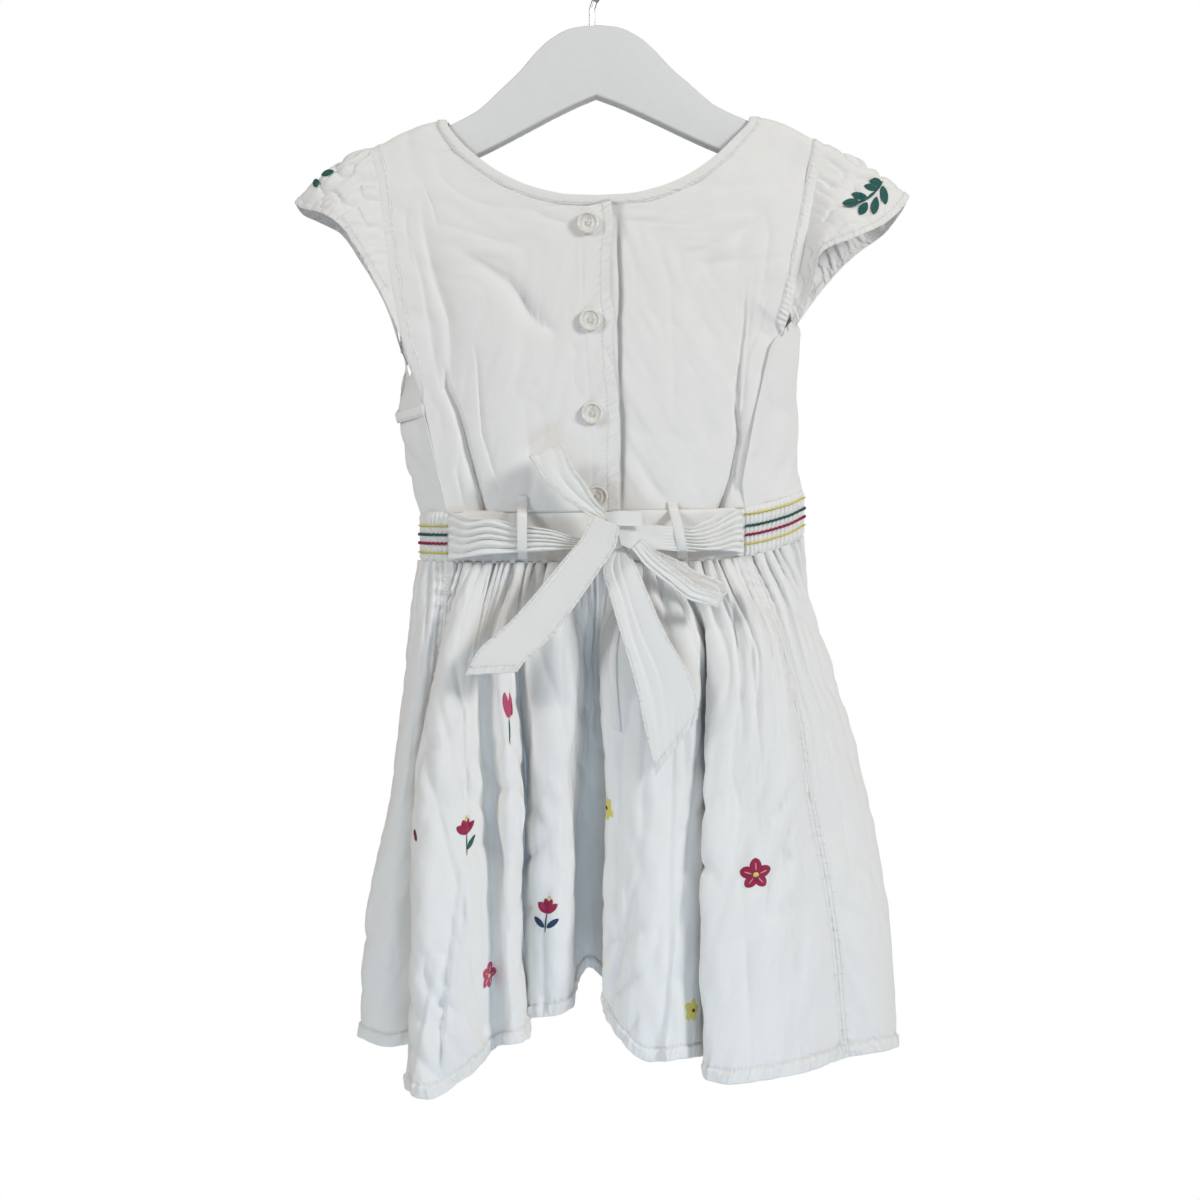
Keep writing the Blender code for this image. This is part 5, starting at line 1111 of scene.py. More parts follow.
# ================================================================ sleeves
def build_sleeve(name, table, seed):
    """A flutter sleeve: from armhole to hem by a half sine of puff, with gathers at the crown."""
    table = np.asarray(table, float)
    stations = np.linspace(0, len(table) - 1, 300)
    rows = smooth(range(len(table)), table, stations)
    armhole, hem, puff = rows[:, :3], rows[:, 3:6], rows[:, 6]
    side = np.sign(armhole[:, :1].mean())
    outwards = unit(np.stack([np.full(len(rows), side * 0.55), np.clip(armhole[:, 1] / 9, -1, 1) * 0.8,
                              -1.0 + np.abs(np.clip(armhole[:, 1] / 11, -1, 1)) * 0.75], -1))
    share = np.concatenate([np.linspace(0, 0.88, 44, endpoint=False), np.linspace(0.88, 1, 12)])[:, None]
    start = armhole - unit(hem - armhole) * SLEEVE_TUCK
    grid = start + (hem - start) * share[..., None]
    length = np.linalg.norm(hem - armhole, axis=1)
    below = share * length
    crown = np.exp(-((stations - stations[-1] / 2) / SLEEVE_CROWN) ** 2)
    run = lengths_along(armhole)
    puffed = puff * np.sin(math.pi * share) ** 0.8
    wide = np.clip(length / 16, 0, 1)
    drift = 1.5 * ripples(run + 0 * below, below, seed + 3, (12, 30), 1.2, 6)
    pleats = gathers(run + drift, below, seed, (3.5, 9.0), (1.8, 4.6), (6, 24), 1.6)
    patch = np.clip(0.75 + 0.6 * ripples(run, 0 * run, seed + 6, (16, 44), 0, 6), 0.15, 1.5)
    pleats = pleats * (0.15 + crown) * patch * np.clip((below - 1) / 2, 0, 1)
    calm = np.clip((1 - share) * 2.5, 0.25, 1)
    creased = 2.8 * crumple(run + 0 * below, below, seed + 1, (12, 38), 1.2) * np.clip(share * 4, 0, 1) * calm
    flutter = SLEEVE_FLUTTER[0] * np.sin(stations * SLEEVE_FLUTTER[1]) * share * np.clip(puff / 3, 0, 1)
    edge = (1 - share) * length
    hemmed = 0.35 * (edge < 4) - 0.3 * np.exp(-((edge - 4) / 0.7) ** 2)
    grid = grid + outwards * ((puffed + pleats + creased + flutter + hemmed) * wide)[..., None]
    edges = np.stack([np.full(edge.shape, UNSEWN), edge * TOPSTITCH / 3.8 + UNSEWN * (length < 6)], -1)
    add_cloth(name + "_cloth", name, grid, "sleeve", leans(grid, outwards), edges=edges)
    return grid


# ================================================================ waist
TUCK = 1.2                 # how far a band runs on under the cloths sewn to it


def tucked(height):
    """How deep a band lies under its neighbours at its top and bottom, 0 to 1 down it."""
    return 0.9 * np.exp(-(np.minimum(height, 1 - height) / 0.05) ** 2)


def band_grid(first, last, columns, rows):
    """The waist ring between two of its rows, and a band on it: ring, heights, top, bottom and grid."""
    ring = waist_path(first, last, columns)
    height = np.linspace(0, 1, rows)[:, None]
    top, bottom = ring[:, 2] - TUCK, ring[:, 3] + TUCK
    grid = np.stack([ring[:, 0] + 0 * height, ring[:, 1] + 0 * height, top + (bottom - top) * height], -1)
    return ring, height, top, bottom, grid


def smocking(ring, top, bottom, grid, lean):
    """Rows of raised stitches, one bar to a rib, each turned about its middle: grids, finishes, facings."""
    last = len(ring) - 1
    along = np.linspace(0, 1, last + 1)
    turn = np.linspace(0, 2 * math.pi, 7)[None, :, None]
    length = np.array([-1.0, -0.7, 0.0, 0.7, 1.0])
    bars, finishes = [], []
    for right, left, finish, half in THREAD_ROWS:
        straight = finish == "thread_yellow"
        drops = top + (bottom - top) * (right + (left - right) * along)
        ends = (0.9, 1.0) if straight else (0.35, 0.9)
        radius = half * np.array([*ends, 1, *ends[::-1]])[:, None, None]
        for place in (np.arange(SMOCKING_RIBS) + 0.5) / SMOCKING_RIBS:
            column = int(place * last)
            row = right + (left - right) * place
            out = lean[10, column]
            middle = grid[int(round(row * (SMOCKING_ROWS - 1))), column] + out * (0.15 + half * 0.4)
            middle[2] = top[column] + (bottom[column] - top[column]) * row
            before, after = np.clip((column - 3, column + 3), 0, last)
            step = unit(ring[after, :2] - ring[before, :2])
            before, after = np.clip((column - 4, column + 4), 0, last)
            span = np.linalg.norm(ring[after, :2] - ring[before, :2]) * 0.56
            tilt = (drops[after] - drops[before]) / 2 - 0.42 * half * (not straight)
            spine = np.stack([step[0] * span * length, step[1] * span * length, tilt * length], -1)[:, None]
            bars.append(middle + spine + np.cos(turn) * radius * out + np.sin(turn) * radius * UPRIGHT)
            finishes.append(finish)
    return bars, finishes, [bar - bar.mean(axis=(0, 1)) for bar in bars]


def build_waistbands():
    """A plain band across the back, and a smocked one that wraps the front."""
    ring, height, top, bottom, grid = band_grid(0, WAIST_RIGHT_SEAM, 160, 14)
    lean = leans(grid, BACKWARD)
    grid = wrinkle(grid, lean, 21, 0.18, (5, 14)) - lean * tucked(height)[..., None]
    add_cloth("waistband_back_cloth", "waistband_back", grid, "cotton", BACKWARD)
    ring, height, top, bottom, grid = band_grid(WAIST_RIGHT_SEAM, len(WAIST_RING) - 1, SMOCKING_RIBS * 8 + 1,
                                                SMOCKING_ROWS)
    facing = (grid - WAIST_MIDDLE) * (1, 1, 0)
    lean = leans(grid, facing)
    along = np.linspace(0, 1, len(ring))
    rib = np.abs(np.sin(math.pi * SMOCKING_RIBS * along + 0.5 * np.sin(along * 40))) ** 0.7
    held = 0 * height * along
    for right, left, _, half in THREAD_ROWS:
        row = right + (left - right) * along
        held += np.exp(-((height - row) * (bottom - top) / (half + 0.9)) ** 2)
    ends = np.clip(np.sin(math.pi * height) * 3, 0.45, 1)
    rise = SMOCKING_RISE * rib * (1 - 0.45 * np.clip(held, 0, 1)) * ends
    grid = grid + lean * (rise - tucked(height))[..., None]
    stitched = add_grid("smocking_threads", *smocking(ring, top, bottom, grid, lean))
    add_cloth("waistband_front_cloth", "waistband_front", grid, "smocked", facing)


# ================================================================ skirt
def share_out(lengths, total):
    """Splits a number of columns over spans by their length, two at least for each."""
    wanted = np.maximum(2, lengths / lengths.sum() * total)
    counts = np.maximum(2, np.floor(wanted)).astype(int)
    while counts.sum() != total:
        step = 1 if counts.sum() < total else -1
        score = (wanted - counts) * step
        score[(counts <= 2) & (step < 0)] = -np.inf
        counts[np.argmax(score)] += step
    return counts


def skirt_cloth(lines, spans, first, last, columns, seed):
    """Half a skirt: fold lines smoothed across, then down; gathers, hem and wrinkles on top."""
    values = np.array(lines, float)
    level_runs = np.stack([np.linalg.norm(np.diff(values[:, [k, 4 + k]], axis=0), axis=1) for k in (1, 3)])
    counts = share_out(level_runs.mean(axis=0), spans)
    at = np.concatenate([np.linspace(k, k + 1, counts[k], endpoint=False) for k in range(len(counts))]
                        + [[len(counts)]])
    fine = np.interp(np.linspace(0, spans, columns), np.arange(spans + 1), at)
    column = smooth(range(len(lines)), values, fine)
    ring = waist_path(first, last, columns)
    top = ring[:, 3] + SEAM_GAP
    drops = top + (column[:, 8] - top) * SKIRT_ROWS[:, None]
    knots = np.stack([top] + [np.full(columns, level) for level in SKIRT_LEVELS] + [column[:, 8]])
    places = np.stack([ring[:, :2]] + [column[:, [k, 4 + k]] for k in range(4)])
    grid = np.concatenate([smooth_down(knots, places, drops), drops[..., None]], -1)
    facing = (grid - WAIST_MIDDLE) * (1, 1, 0)
    lean = leans(grid, facing)
    run = np.broadcast_to(lengths_along(ring[:, :2]), drops.shape)
    below = drops - drops[:1]
    seam = np.minimum(run, run[:, -1:] - run)
    drift = 1.3 * ripples(run, below, seed + 2, (36, 110), 1.2, 7) * np.clip(below / 30, 0, 1)
    pleats = gathers(run + drift, below, seed, (2.6, 8.4), (1.8, 5.0), (14, 64), 3.0)
    pleats += gathers(run + 1.3 + drift, below, seed + 1, (9, 21), (1.8, 4.8), (28, 95), 2.4) \
        * np.clip(below / 12, 0, 1)
    u, v = runs(grid, 1), runs(grid, 0)
    panel = (u[-1:] / u[-1, -1] - 0.5) * (SKIRT_CUT[0] + (SKIRT_CUT[1] - SKIRT_CUT[0]) * SKIRT_ROWS[:, None])
    patch = np.clip(0.75 + 0.6 * ripples(panel, v, seed + 9, (90, 220), 1.2, 6), 0.2, 1.5)
    pressed = 2.4 * crumple(panel, v, seed + 3, (44, 120), 0.35) \
        + 2.3 * patch * crumple(panel, v, seed + 4, (26, 84), 1.1)
    pressed = pressed * np.clip(below / 40, 0, 1) * (1.0 if first == 0 else 0.55)
    up = drops[-1:] - drops
    hem = HEM_STEP * np.clip((HEM_WIDTH - up) / 0.6, 0, 1) - 0.5 * np.exp(-((up - HEM_WIDTH) / 0.8) ** 2)
    hem += 0.7 * np.sin(u * 2 * math.pi / 5.2 + 1.5 * np.sin(u / 11.0)) * np.exp(-((up - 5) / 4.5) ** 2) \
        * (0.3 + 0.7 * np.sin(u / 37.0 + seed) ** 2)
    side = np.minimum(u, u[:, -1:] - u)
    stitched = -1.0 * np.exp(-((side - 1.8) / 1.0) ** 2) \
        + 0.8 * np.sin(v * 2 * math.pi / 7.5 + 1.4 * np.sin(v / 11)) * np.exp(-((side - 3) / 4.5) ** 2)
    fine = 0.3 * ripples(panel, v, seed + 5, (7, 24), 0.5)
    settle = np.clip(seam / 3, 0, 1) * np.clip(side / 3, 0, 1)
    moved = grid + lean * ((pleats + pressed + stitched + fine) * settle + hem)[..., None] * (1, 1, 0)
    return moved, facing, np.stack([panel, v], -1), np.stack([side * 2.6, up * TOPSTITCH / HEM_WIDTH], -1)


def place_on(cloth, x, drop, across, down, height, behind=False):
    """Points laid on a cloth at lengths across and down it from the place seen at x, drop."""
    grid, lean, run, fall = cloth
    away = (grid[..., 0] - x) ** 2 + (grid[..., 2] - drop) ** 2
    near = away < max(away.min() * 1.6, 2.6)
    depth = np.where(near, grid[..., 1] * (-1 if behind else 1), np.inf)
    row, column = np.unravel_index(np.argmin(depth), depth.shape)
    at_row = np.interp(fall[row, column] + down, fall[:, column], np.arange(len(grid)))
    at_column = np.interp(run[row, column] + across, run[row], np.arange(grid.shape[1]))
    low_row = np.clip(at_row.astype(int), 0, grid.shape[0] - 2)
    low_column = np.clip(at_column.astype(int), 0, grid.shape[1] - 2)
    r, c = (at_row - low_row)[..., None], (at_column - low_column)[..., None]

    def between(values):
        """Values of the grid between its four nearest points."""
        return ((values[low_row, low_column] * (1 - c) + values[low_row, low_column + 1] * c) * (1 - r)
                + (values[low_row + 1, low_column] * (1 - c) + values[low_row + 1, low_column + 1] * c) * r)

    return between(grid) + between(lean) * height[..., None], between(lean)


def satin(cloth, place, offset, length, width, turn, sharp, rise, behind):
    """A satin-stitched leaf or petal: an oval, domed, its ends pointed by a power of its outline."""
    along, across = np.linspace(-1, 1, 13)[:, None], np.linspace(-1, 1, 7)[None, :]
    half = width / 2 * np.clip(1 - np.abs(along) ** 2, 0, 1) ** (0.5 * sharp)
    u, v = along * length / 2 * np.ones_like(across), half * across
    cosine, sine = math.cos(turn), math.sin(turn)
    right, down = offset[0] + u * cosine - v * sine, offset[1] + u * sine + v * cosine
    height = 0.12 + rise * (1 - across ** 2) * np.clip(1 - along ** 4, 0, 1) ** 0.5
    return place_on(cloth, *place, right, down, height, behind)


# Each flower's petals and middle
FLOWERS = {"pink flower": ("thread_pink", "thread_yellow"),
           "magenta flower": ("thread_magenta", "thread_yellow"),
           "yellow flower": ("thread_yellow", "thread_red"),
           "red yellow flower": ("thread_yellow", "thread_red")}


def around(degrees):
    """The direction at an angle from the right, turning down."""
    return np.array([math.cos(math.radians(degrees)), math.sin(math.radians(degrees))])


def motif(kind, x, drop, size, turn, cloth, behind, out):
    """Adds one embroidered motif: a flower of ovals round a middle, a tulip, a bud or a leaf."""
    cosine, sine = around(turn)

    def add(finish, right, down, length, width, degrees, sharp=1.0, rise=0.45):
        """One satin patch, placed and sized in shares of the motif's size and turned with it."""
        offset = ((right * cosine - down * sine) * size, (right * sine + down * cosine) * size)
        grid, lean = satin(cloth, (x, drop), offset, length * size, width * size,
                           math.radians(degrees + turn), sharp, rise, behind)
        out.append((grid, finish, lean))

    if kind in FLOWERS:
        petal, middle = FLOWERS[kind]
        for degrees in range(-90, 270, 72):
            right, down = around(degrees)
            add(petal, right * 0.28, down * 0.28, 0.54, 0.40, degrees, 1.2)
            if petal != "thread_yellow":
                add("thread_blush", right * 0.27, down * 0.27, 0.28, 0.045, degrees, 1.0, 0.85)
        add(middle, 0, 0, 0.22, 0.22, 0, 1.0, 0.9)
    elif kind.startswith("tulip"):
        leaf, count = ("thread_teal", 1) if kind.endswith("leaf") else ("thread_navy", 2)
        for tilt in (-48, 48, -16, 16):
            right, down = around(tilt - 90)
            add("thread_magenta", right * 0.28, down * 0.28 + 0.2, 0.66, 0.30, tilt - 90, 1.5)
        add("thread_yellow", 0, -0.42, 0.18, 0.14, 90, 1.0, 0.6)
        add(leaf, 0, 0.62, 0.9, STEM_WIDTH / size, 90)
        for right, degrees in ((0.32, -38), (-0.30, -140))[:count]:
            add(leaf, right, 0.62, 0.66, 0.26, degrees, 1.4)
    elif kind == "bud":
        for right in (-0.11, 0.11):
            add("thread_pink", right, 0, 1.08, 0.27, 90 + right * 70, 1.3)
        add("thread_magenta", 0.16, 0.05, 0.8, 0.2, 84)
        add("thread_teal", 0, 1.05, 1.1, STEM_WIDTH / size, 88)
    else:
        add("thread_red", 0, 0, 1.0, 0.5, 0, 1.2)


def build_skirt():
    """Back and front of the skirt with their embroidery, and the strip of the back slit."""
    made = {}
    for side, lines, spans, first, last, columns, seed, motifs in (
            ("back", BACK_FOLD_LINES, BACK_SPANS, 0, WAIST_RIGHT_SEAM, BACK_COLUMNS, 31, BACK_MOTIFS),
            ("front", FRONT_FOLD_LINES, FRONT_SPANS, WAIST_RIGHT_SEAM, len(WAIST_RING) - 1, FRONT_COLUMNS, 47,
             FRONT_MOTIFS)):
        name, behind = "skirt_" + side, side == "front"
        grid, facing, threads, sewn = skirt_cloth(lines, spans, first, last, columns, seed)
        if not behind:
            depth = crease_depth(grid, SKIRT_CREASES) - wedge_rise(grid, SKIRT_WEDGES)
            grid[..., 1] += depth * np.clip((-grid[..., 1] - 12) / 8, 0, 1)
        seen = slice(None, None, -1 if behind else 1)
        cloth = (grid[:, seen], leans(grid, facing)[:, seen], runs(grid[:, seen], 1), runs(grid, 0)[:, seen])
        patches = []
        for row in motifs:
            motif(*row, cloth, behind, patches)
        embroidery = add_grid(name + "_embroidery", *zip(*patches))
        add_cloth(name + "_cloth", name, grid, "cotton", facing, uv=threads, edges=sewn)
        made[name] = cloth
    down = np.linspace(-0.5, 0.5, 40)[:, None] * PLACKET[1]
    across = np.linspace(-0.5, 0.5, 9)[None, :] * PLACKET[0]
    height = 0.5 + 0.5 * (1 - (across * 2 / PLACKET[0]) ** 4) + 0 * down
    strip, lean = place_on(made["skirt_back"], *PLACKET_AT, across + 0 * down, down + 0 * across, height)
    add_cloth("placket_cloth", "placket", strip, "band", lean, wall=THIN_CLOTH)


# ================================================================ sash
def pleated(share, along, pleats, seed):
    """Pleats of uneven width across a ribbon: rounded ridges, sharp valleys, wandering along it."""
    draw = np.random.default_rng(seed)
    shift = 0.45 * ripples(along * 60, share * 12, seed, (30, 90), 0.6, 6)
    edges = np.concatenate([[-0.4], np.cumsum(draw.uniform(0.6, 1.4, pleats + 6)) / pleats - 0.3])
    place = share + shift / pleats
    number = np.clip(np.searchsorted(edges, place, side="right") - 1, 0, len(edges) - 2)
    local = (place - edges[number]) / (edges[number + 1] - edges[number])
    return np.sin(math.pi * np.clip(local, 0, 1)) ** 0.7 - 0.55


def between_edges(path, columns):
    """A grid between a ribbon's edges (x, drop, x, drop, y), its shares, and how far in each point lies."""
    first, second = path[:, [0, 4, 1]], path[:, [2, 4, 3]]
    share = np.linspace(0, 1, columns)[None, :]
    grid = first[:, None] + (second - first)[:, None] * share[..., None]
    return grid, share, np.minimum(share, 1 - share) * np.linalg.norm(second - first, axis=1)[:, None]


def ribbon_cloth(name, sections, pleats, seed, deep=0.0, rows=90, stitched=False,
                 folds=(), tilt=0.0):
    """A ribbon between two edges, pleated lengthwise; deep scales each section's crease depth."""
    sections = np.asarray(sections, float)
    at = np.linspace(0, len(sections) - 1, rows)
    line = smooth(range(len(sections)), sections, at)
    grid, share, edge = between_edges(line, 46)
    fold = pleated(share + 0 * at[:, None], at[:, None] / 4 + 0 * share, pleats, seed)
    grid[..., 1] -= 0.8 + line[:, 5:6] * deep * fold + tilt * (share - 0.5)
    grid[..., 1] += valleys(share, np.linspace(0, 1, rows)[:, None], folds)
    pressed = 0.3 * crumple(runs(grid, 1), runs(grid, 0), seed + 3, (40, 110), 1.2)
    grid = grid + leans(grid, BACKWARD) * pressed[..., None]
    end = runs(grid, 0)[-1:] - runs(grid, 0)
    edges = np.stack([edge * TOPSTITCH / 1.3, end * TOPSTITCH / 4.5], -1) if stitched else None
    add_cloth(name + "_cloth", name, grid, "sash", BACKWARD, edges=edges)


def valleys(share, down, folds):
    """Sharp valleys along a ribbon, depth * exp(-|distance| / half width), faded out at both ends."""
    total = 0 * (share + down)
    for near, far, depth, half in folds:
        middle = near + (far - near) * down + 0.02 * np.sin(down * 14 + near * 9)
        fade = np.clip(down * 6, 0, 1) * np.clip((1 - down) * 2.5, 0, 1)
        total = total + depth * np.exp(-np.abs(share - middle) / half) * fade \
            * (1 + 0.7 * np.tanh((share - middle) / half * 3))
    return total


def loop_cloth(name, sections, pleats, seed, deep, folds):
    """A bow's loop: out along the near half, round its end, and back along the far half."""
    sections = np.asarray(sections, float)
    line = smooth(range(len(sections)), sections, np.linspace(0, len(sections) - 1, LOOP_ROWS))
    outgoing = unit(line[-1, :2] + line[-1, 2:4] - line[0, :2] - line[0, 2:4])
    near = line[:, :5]
    far = np.column_stack([line[:, :4] - np.outer(line[:, 6], (0, 1, 0, 1)), line[:, 5]])[::-1]
    reach = abs(line[-1, 5] - line[-1, 4]) / 2
    angle = np.radians(np.linspace(12, 168, 14))
    turn = near[-1:] + (far[:1] - near[-1:]) * (0.5 - 0.5 * np.cos(angle))[:, None]
    turn[:, :4] += np.tile(outgoing, 2)[None, :] * (np.sin(angle) * reach)[:, None]
    turn[:, 4] = (near[-1, 4] + far[0, 4]) / 2 - np.cos(angle) * reach
    path = np.concatenate([near, turn, far])
    grid, share, edge = between_edges(path, 30)
    lean = leans(grid, BACKWARD)
    if lean[0, 15, 1] > 0:
        lean = -lean
    number = np.arange(len(path))
    fold = pleated(share + 0 * path[:, :1], np.linspace(0, 2, len(path))[:, None] + 0 * share, pleats, seed)
    fade = np.clip(np.minimum(number, number[::-1]) / 8, 0, 1)[:, None]
    out = np.clip(number / LOOP_ROWS, 0, 1)[:, None]
    grid = grid + lean * (fold * deep * (0.4 + 0.6 * fade) - valleys(share, out, folds))[..., None]
    edges = np.stack([edge * TOPSTITCH / 1.6, np.full(edge.shape, UNSEWN)], -1)
    add_cloth(name + "_cloth", name, grid, "sash", lean,
              wall=0.9, edges=edges)


def build_knot():
    """The bow's knot: a rounded lump whose cloth is drawn round it in pleats."""
    polar, turn = np.linspace(0.02, math.pi - 0.02, 60)[:, None], np.linspace(0, 2 * math.pi, 97)[None, :]
    x = np.cos(polar) + 0 * turn
    ring = np.sin(polar) ** 0.75
    y, z = ring * np.cos(turn), ring * np.sin(turn)
    pleat = 0.035 * np.sin(x * 7 + 1.6 * z + 0.8)
    scale = (1 + pleat * ring) * (1 - 0.10 * np.exp(-((x + z) / 0.35) ** 2))
    grid = np.stack([KNOT_MIDDLE[0] + x * KNOT_HALF[0] * scale, KNOT_MIDDLE[1] + y * KNOT_HALF[1] * scale,
                     KNOT_MIDDLE[2] - z * KNOT_HALF[2] * scale], -1)
    add_cloth("sash_knot_cloth", "sash_knot", grid, "sash", grid - np.array(KNOT_MIDDLE),
              wall=0.5)


def build_sash():
    """The runs from the side seams, the knot, two loops, two tails and the flap over the knot."""
    build_knot()
    ribbon_cloth("sash_run_left", SASH_RUN_LEFT, 6, 61, 3.0)
    ribbon_cloth("sash_run_right", SASH_RUN_RIGHT, 6, 63, 2.8)
    ribbon_cloth("sash_tail_left", SASH_TAIL_LEFT, 1, 65, stitched=True,
                 folds=TAIL_LEFT_FOLDS, tilt=6.0)
    ribbon_cloth("sash_tail_right", SASH_TAIL_RIGHT, 1, 67, stitched=True,
                 folds=TAIL_RIGHT_FOLDS)
    ribbon_cloth("sash_flap", SASH_FLAP, 1, 69, rows=30)
    loop_cloth("bow_loop_upper", BOW_LOOP_UPPER, 2, 71, 0.5, LOOP_FOLDS)
    loop_cloth("bow_loop_lower", BOW_LOOP_LOWER, 2, 73, 0.3, LOOP_FOLDS)


def depth_at(grid, lean, x, drop):
    """Depth y of a cloth below a point, and its normal there."""
    away = (grid[..., 0] - x) ** 2 + (grid[..., 2] - drop) ** 2
    nearest = np.argsort(away, axis=None)[:4]
    weight = 1 / (away.ravel()[nearest] + 1e-3)
    weight = weight / weight.sum()
    return weight @ grid[..., 1].ravel()[nearest], unit(weight @ lean.reshape(-1, 3)[nearest])


def build_belt_loops(panels, lean):
    """Two narrow loops of folded cloth, sewn above and below the sash."""
    for name, (top_x, top_drop, low_x, low_drop, reach) in BELT_LOOPS.items():
        side = "back_left" if top_x < 0 else "back_right"
        base = min(depth_at(panels[side], lean[side], top_x + edge, top_drop)[0]
                   for edge in (-BELT_LOOP_WIDTH, BELT_LOOP_WIDTH))
        shares, stands = np.array(BELT_LOOP_STAND).T
        at = np.linspace(0, 1, 60)
        stand = smooth(shares, stands, at) * reach
        band = waist_path(0, WAIST_RIGHT_SEAM, 60)
        low = np.interp(low_x, band[:, 0], band[:, 1])
        y = base + (low - base) * at - SEAM_GAP * 2 - CLOTH - stand
        line = np.column_stack([top_x + (low_x - top_x) * at, y, top_drop + (low_drop - top_drop) * at])
        across = np.linspace(-1, 1, 9)
        grid = line[:, None] + np.stack([across * BELT_LOOP_WIDTH / 2, 0 * across, 0 * across], -1)
        facing = leans(grid, BACKWARD)
        box = np.exp(-((np.abs(across)[None, :] - 0.72) / 0.16) ** 2) * 0.25
        grid = grid - facing * box[..., None]
        add_cloth(name + "_cloth", name, grid, "band", facing, wall=1.0)


# A button's face: distance from its middle and height, both as shares
BUTTON_SECTION = ((0.0, 0.0), (0.97, 0.0), (1.0, 0.3), (0.97, 0.75), (0.89, 1.0), (0.81, 0.98),
                  (0.74, 0.58), (0.0, 0.68))


def build_buttons(panels, lean):
    """Round buttons: a rolled rim, a dished face with an upright oval hollow and two holes."""
    angle = np.linspace(0, 2 * math.pi, 73)
    shares = np.array(BUTTON_SECTION)
    run = lengths_along(shares)
    at = np.concatenate([np.linspace(run[0], run[5], 24, endpoint=False), np.linspace(run[5], run[7], 36)])
    radius, rise = np.interp(at, run, shares[:, 0]), np.interp(at, run, shares[:, 1])
    radius[0] = radius[-1] = 0.004
    face = (at > run[5])[:, None]
    right, up = radius[:, None] * np.cos(angle), radius[:, None] * np.sin(angle)
    oval = (right / 0.34) ** 2 + (up / 0.6) ** 2
    height = rise[:, None] - face * 0.3 / (1 + np.exp((oval - 1) * 9))
    for hole in (-0.24, 0.24):
        away = np.sqrt(right ** 2 + (up - hole) ** 2)
        height = height - face * 0.34 / (1 + np.exp((away - 0.12) * 60))
    turn, length = np.linspace(0, 2 * math.pi, 9)[None, :, None], np.linspace(-1, 1, 9)[:, None, None]
    for number, (x, drop) in enumerate(BUTTONS, start=1):
        depth, own = depth_at(panels["back_left"], lean["back_left"], x, drop)
        slope = math.atan2(-own[2], -own[1])
        seat = np.array([x, depth - 0.75, drop])
        along = np.array([0, math.sin(slope), -math.cos(slope)])
        out = np.array([0, -math.cos(slope), -math.sin(slope)])
        grid = seat + BUTTON_RADIUS * (right[..., None] * SIDEWAYS + up[..., None] * along) \
            + BUTTON_THICK * height[..., None] * out
        middle = seat + out * BUTTON_THICK * 0.4
        piece = add_grid(f"button_{number}_pearl", [grid], ["pearl"], [grid - middle])
        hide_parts(f"button_{number}")
        strand = middle + out * (0.62 + 0.35 * (1 - length ** 2)) * 0.9 + length * 1.5 * along \
            + 0.42 * (np.cos(turn) * out + np.sin(turn) * SIDEWAYS)
        facing = strand - strand.mean(axis=1, keepdims=True)
        add_grid(f"button_{number}_thread", [strand], ["thread_white"], [facing])


# ================================================================ hanger
def build_board():
    """The hanger's board: a rounded oblong section carried along it, from its top and bottom edges."""
    share = np.linspace(-1, 1, 321)
    x = np.sign(share) * (1 - (1 - np.abs(share)) ** 1.5) * BOARD_END[0]
    reach = np.minimum(np.abs(x), BOARD_END[0])
    lines = []
    for table in (BOARD_TOP, BOARD_BOTTOM):
        line = np.array(table, float)
        line[-1, 0] += 0.1
        lines.append(smooth(line[:, 0], line[:, 1], reach))
    top, bottom = lines
    half, middle = np.maximum((bottom - top) / 2, 0.05), (bottom + top) / 2
    corner = np.minimum(BOARD_EDGE, half)
    arc, order = np.radians(np.tile(np.linspace(0, 90, 7), 4)), np.repeat(np.arange(4), 7)
    swap = order % 2 == 0
    ring = [np.where(swap, np.sin(arc), np.cos(arc)), np.where(swap, np.cos(arc), np.sin(arc)),
            np.array([-1, -1, 1, 1])[order], np.array([-1, 1, 1, -1])[order]]
    bend_y, bend_z, side_y, side_z = (np.append(part, part[0])[:, None] for part in ring)
    y = side_y * (BOARD_THICK / 2 - corner + corner * bend_y)
    drop = middle + side_z * (half - corner + corner * bend_z)
    pivot = np.array([0.0, 0.0, BOARD_TOP[0][1]])
    flat = np.stack([x + 0 * y, y, drop], -1) - pivot
    cosine, sine = math.cos(BOARD_TILT), math.sin(BOARD_TILT)
    grid = np.stack([flat[..., 0] * cosine + flat[..., 2] * sine, flat[..., 1],
                     flat[..., 2] * cosine - flat[..., 0] * sine], -1) + pivot
    piece = add_grid("hanger_board_painted", [grid], ["paint"], [np.stack([0 * y, y, drop - middle], -1)])
    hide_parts("hanger_board")
    number = np.arange(len(bend_y))
    edge = np.exp(-((number % 28) / 2.2) ** 2) + np.exp(-((number - 28) / 2.2) ** 2)
    rubbed = 0.5 + 0.35 * ripples(x, 0 * x, 12, (6, 50), 0, 10) + 0.5 * np.exp(-((x - 70) / 16) ** 2)
    wear = np.clip(edge[:, None] * rubbed[None, :], 0, 0.9)
    for place in np.random.default_rng(9).uniform(-90, 90, 5):
        wear = wear + np.exp(-((x - place) / 0.7) ** 2)[None, :] * edge[:, None]
    layer = piece.data.attributes.new("wear", "FLOAT", "POINT")
    layer.data.foreach_set("value", np.clip(wear, 0, 1).ravel())


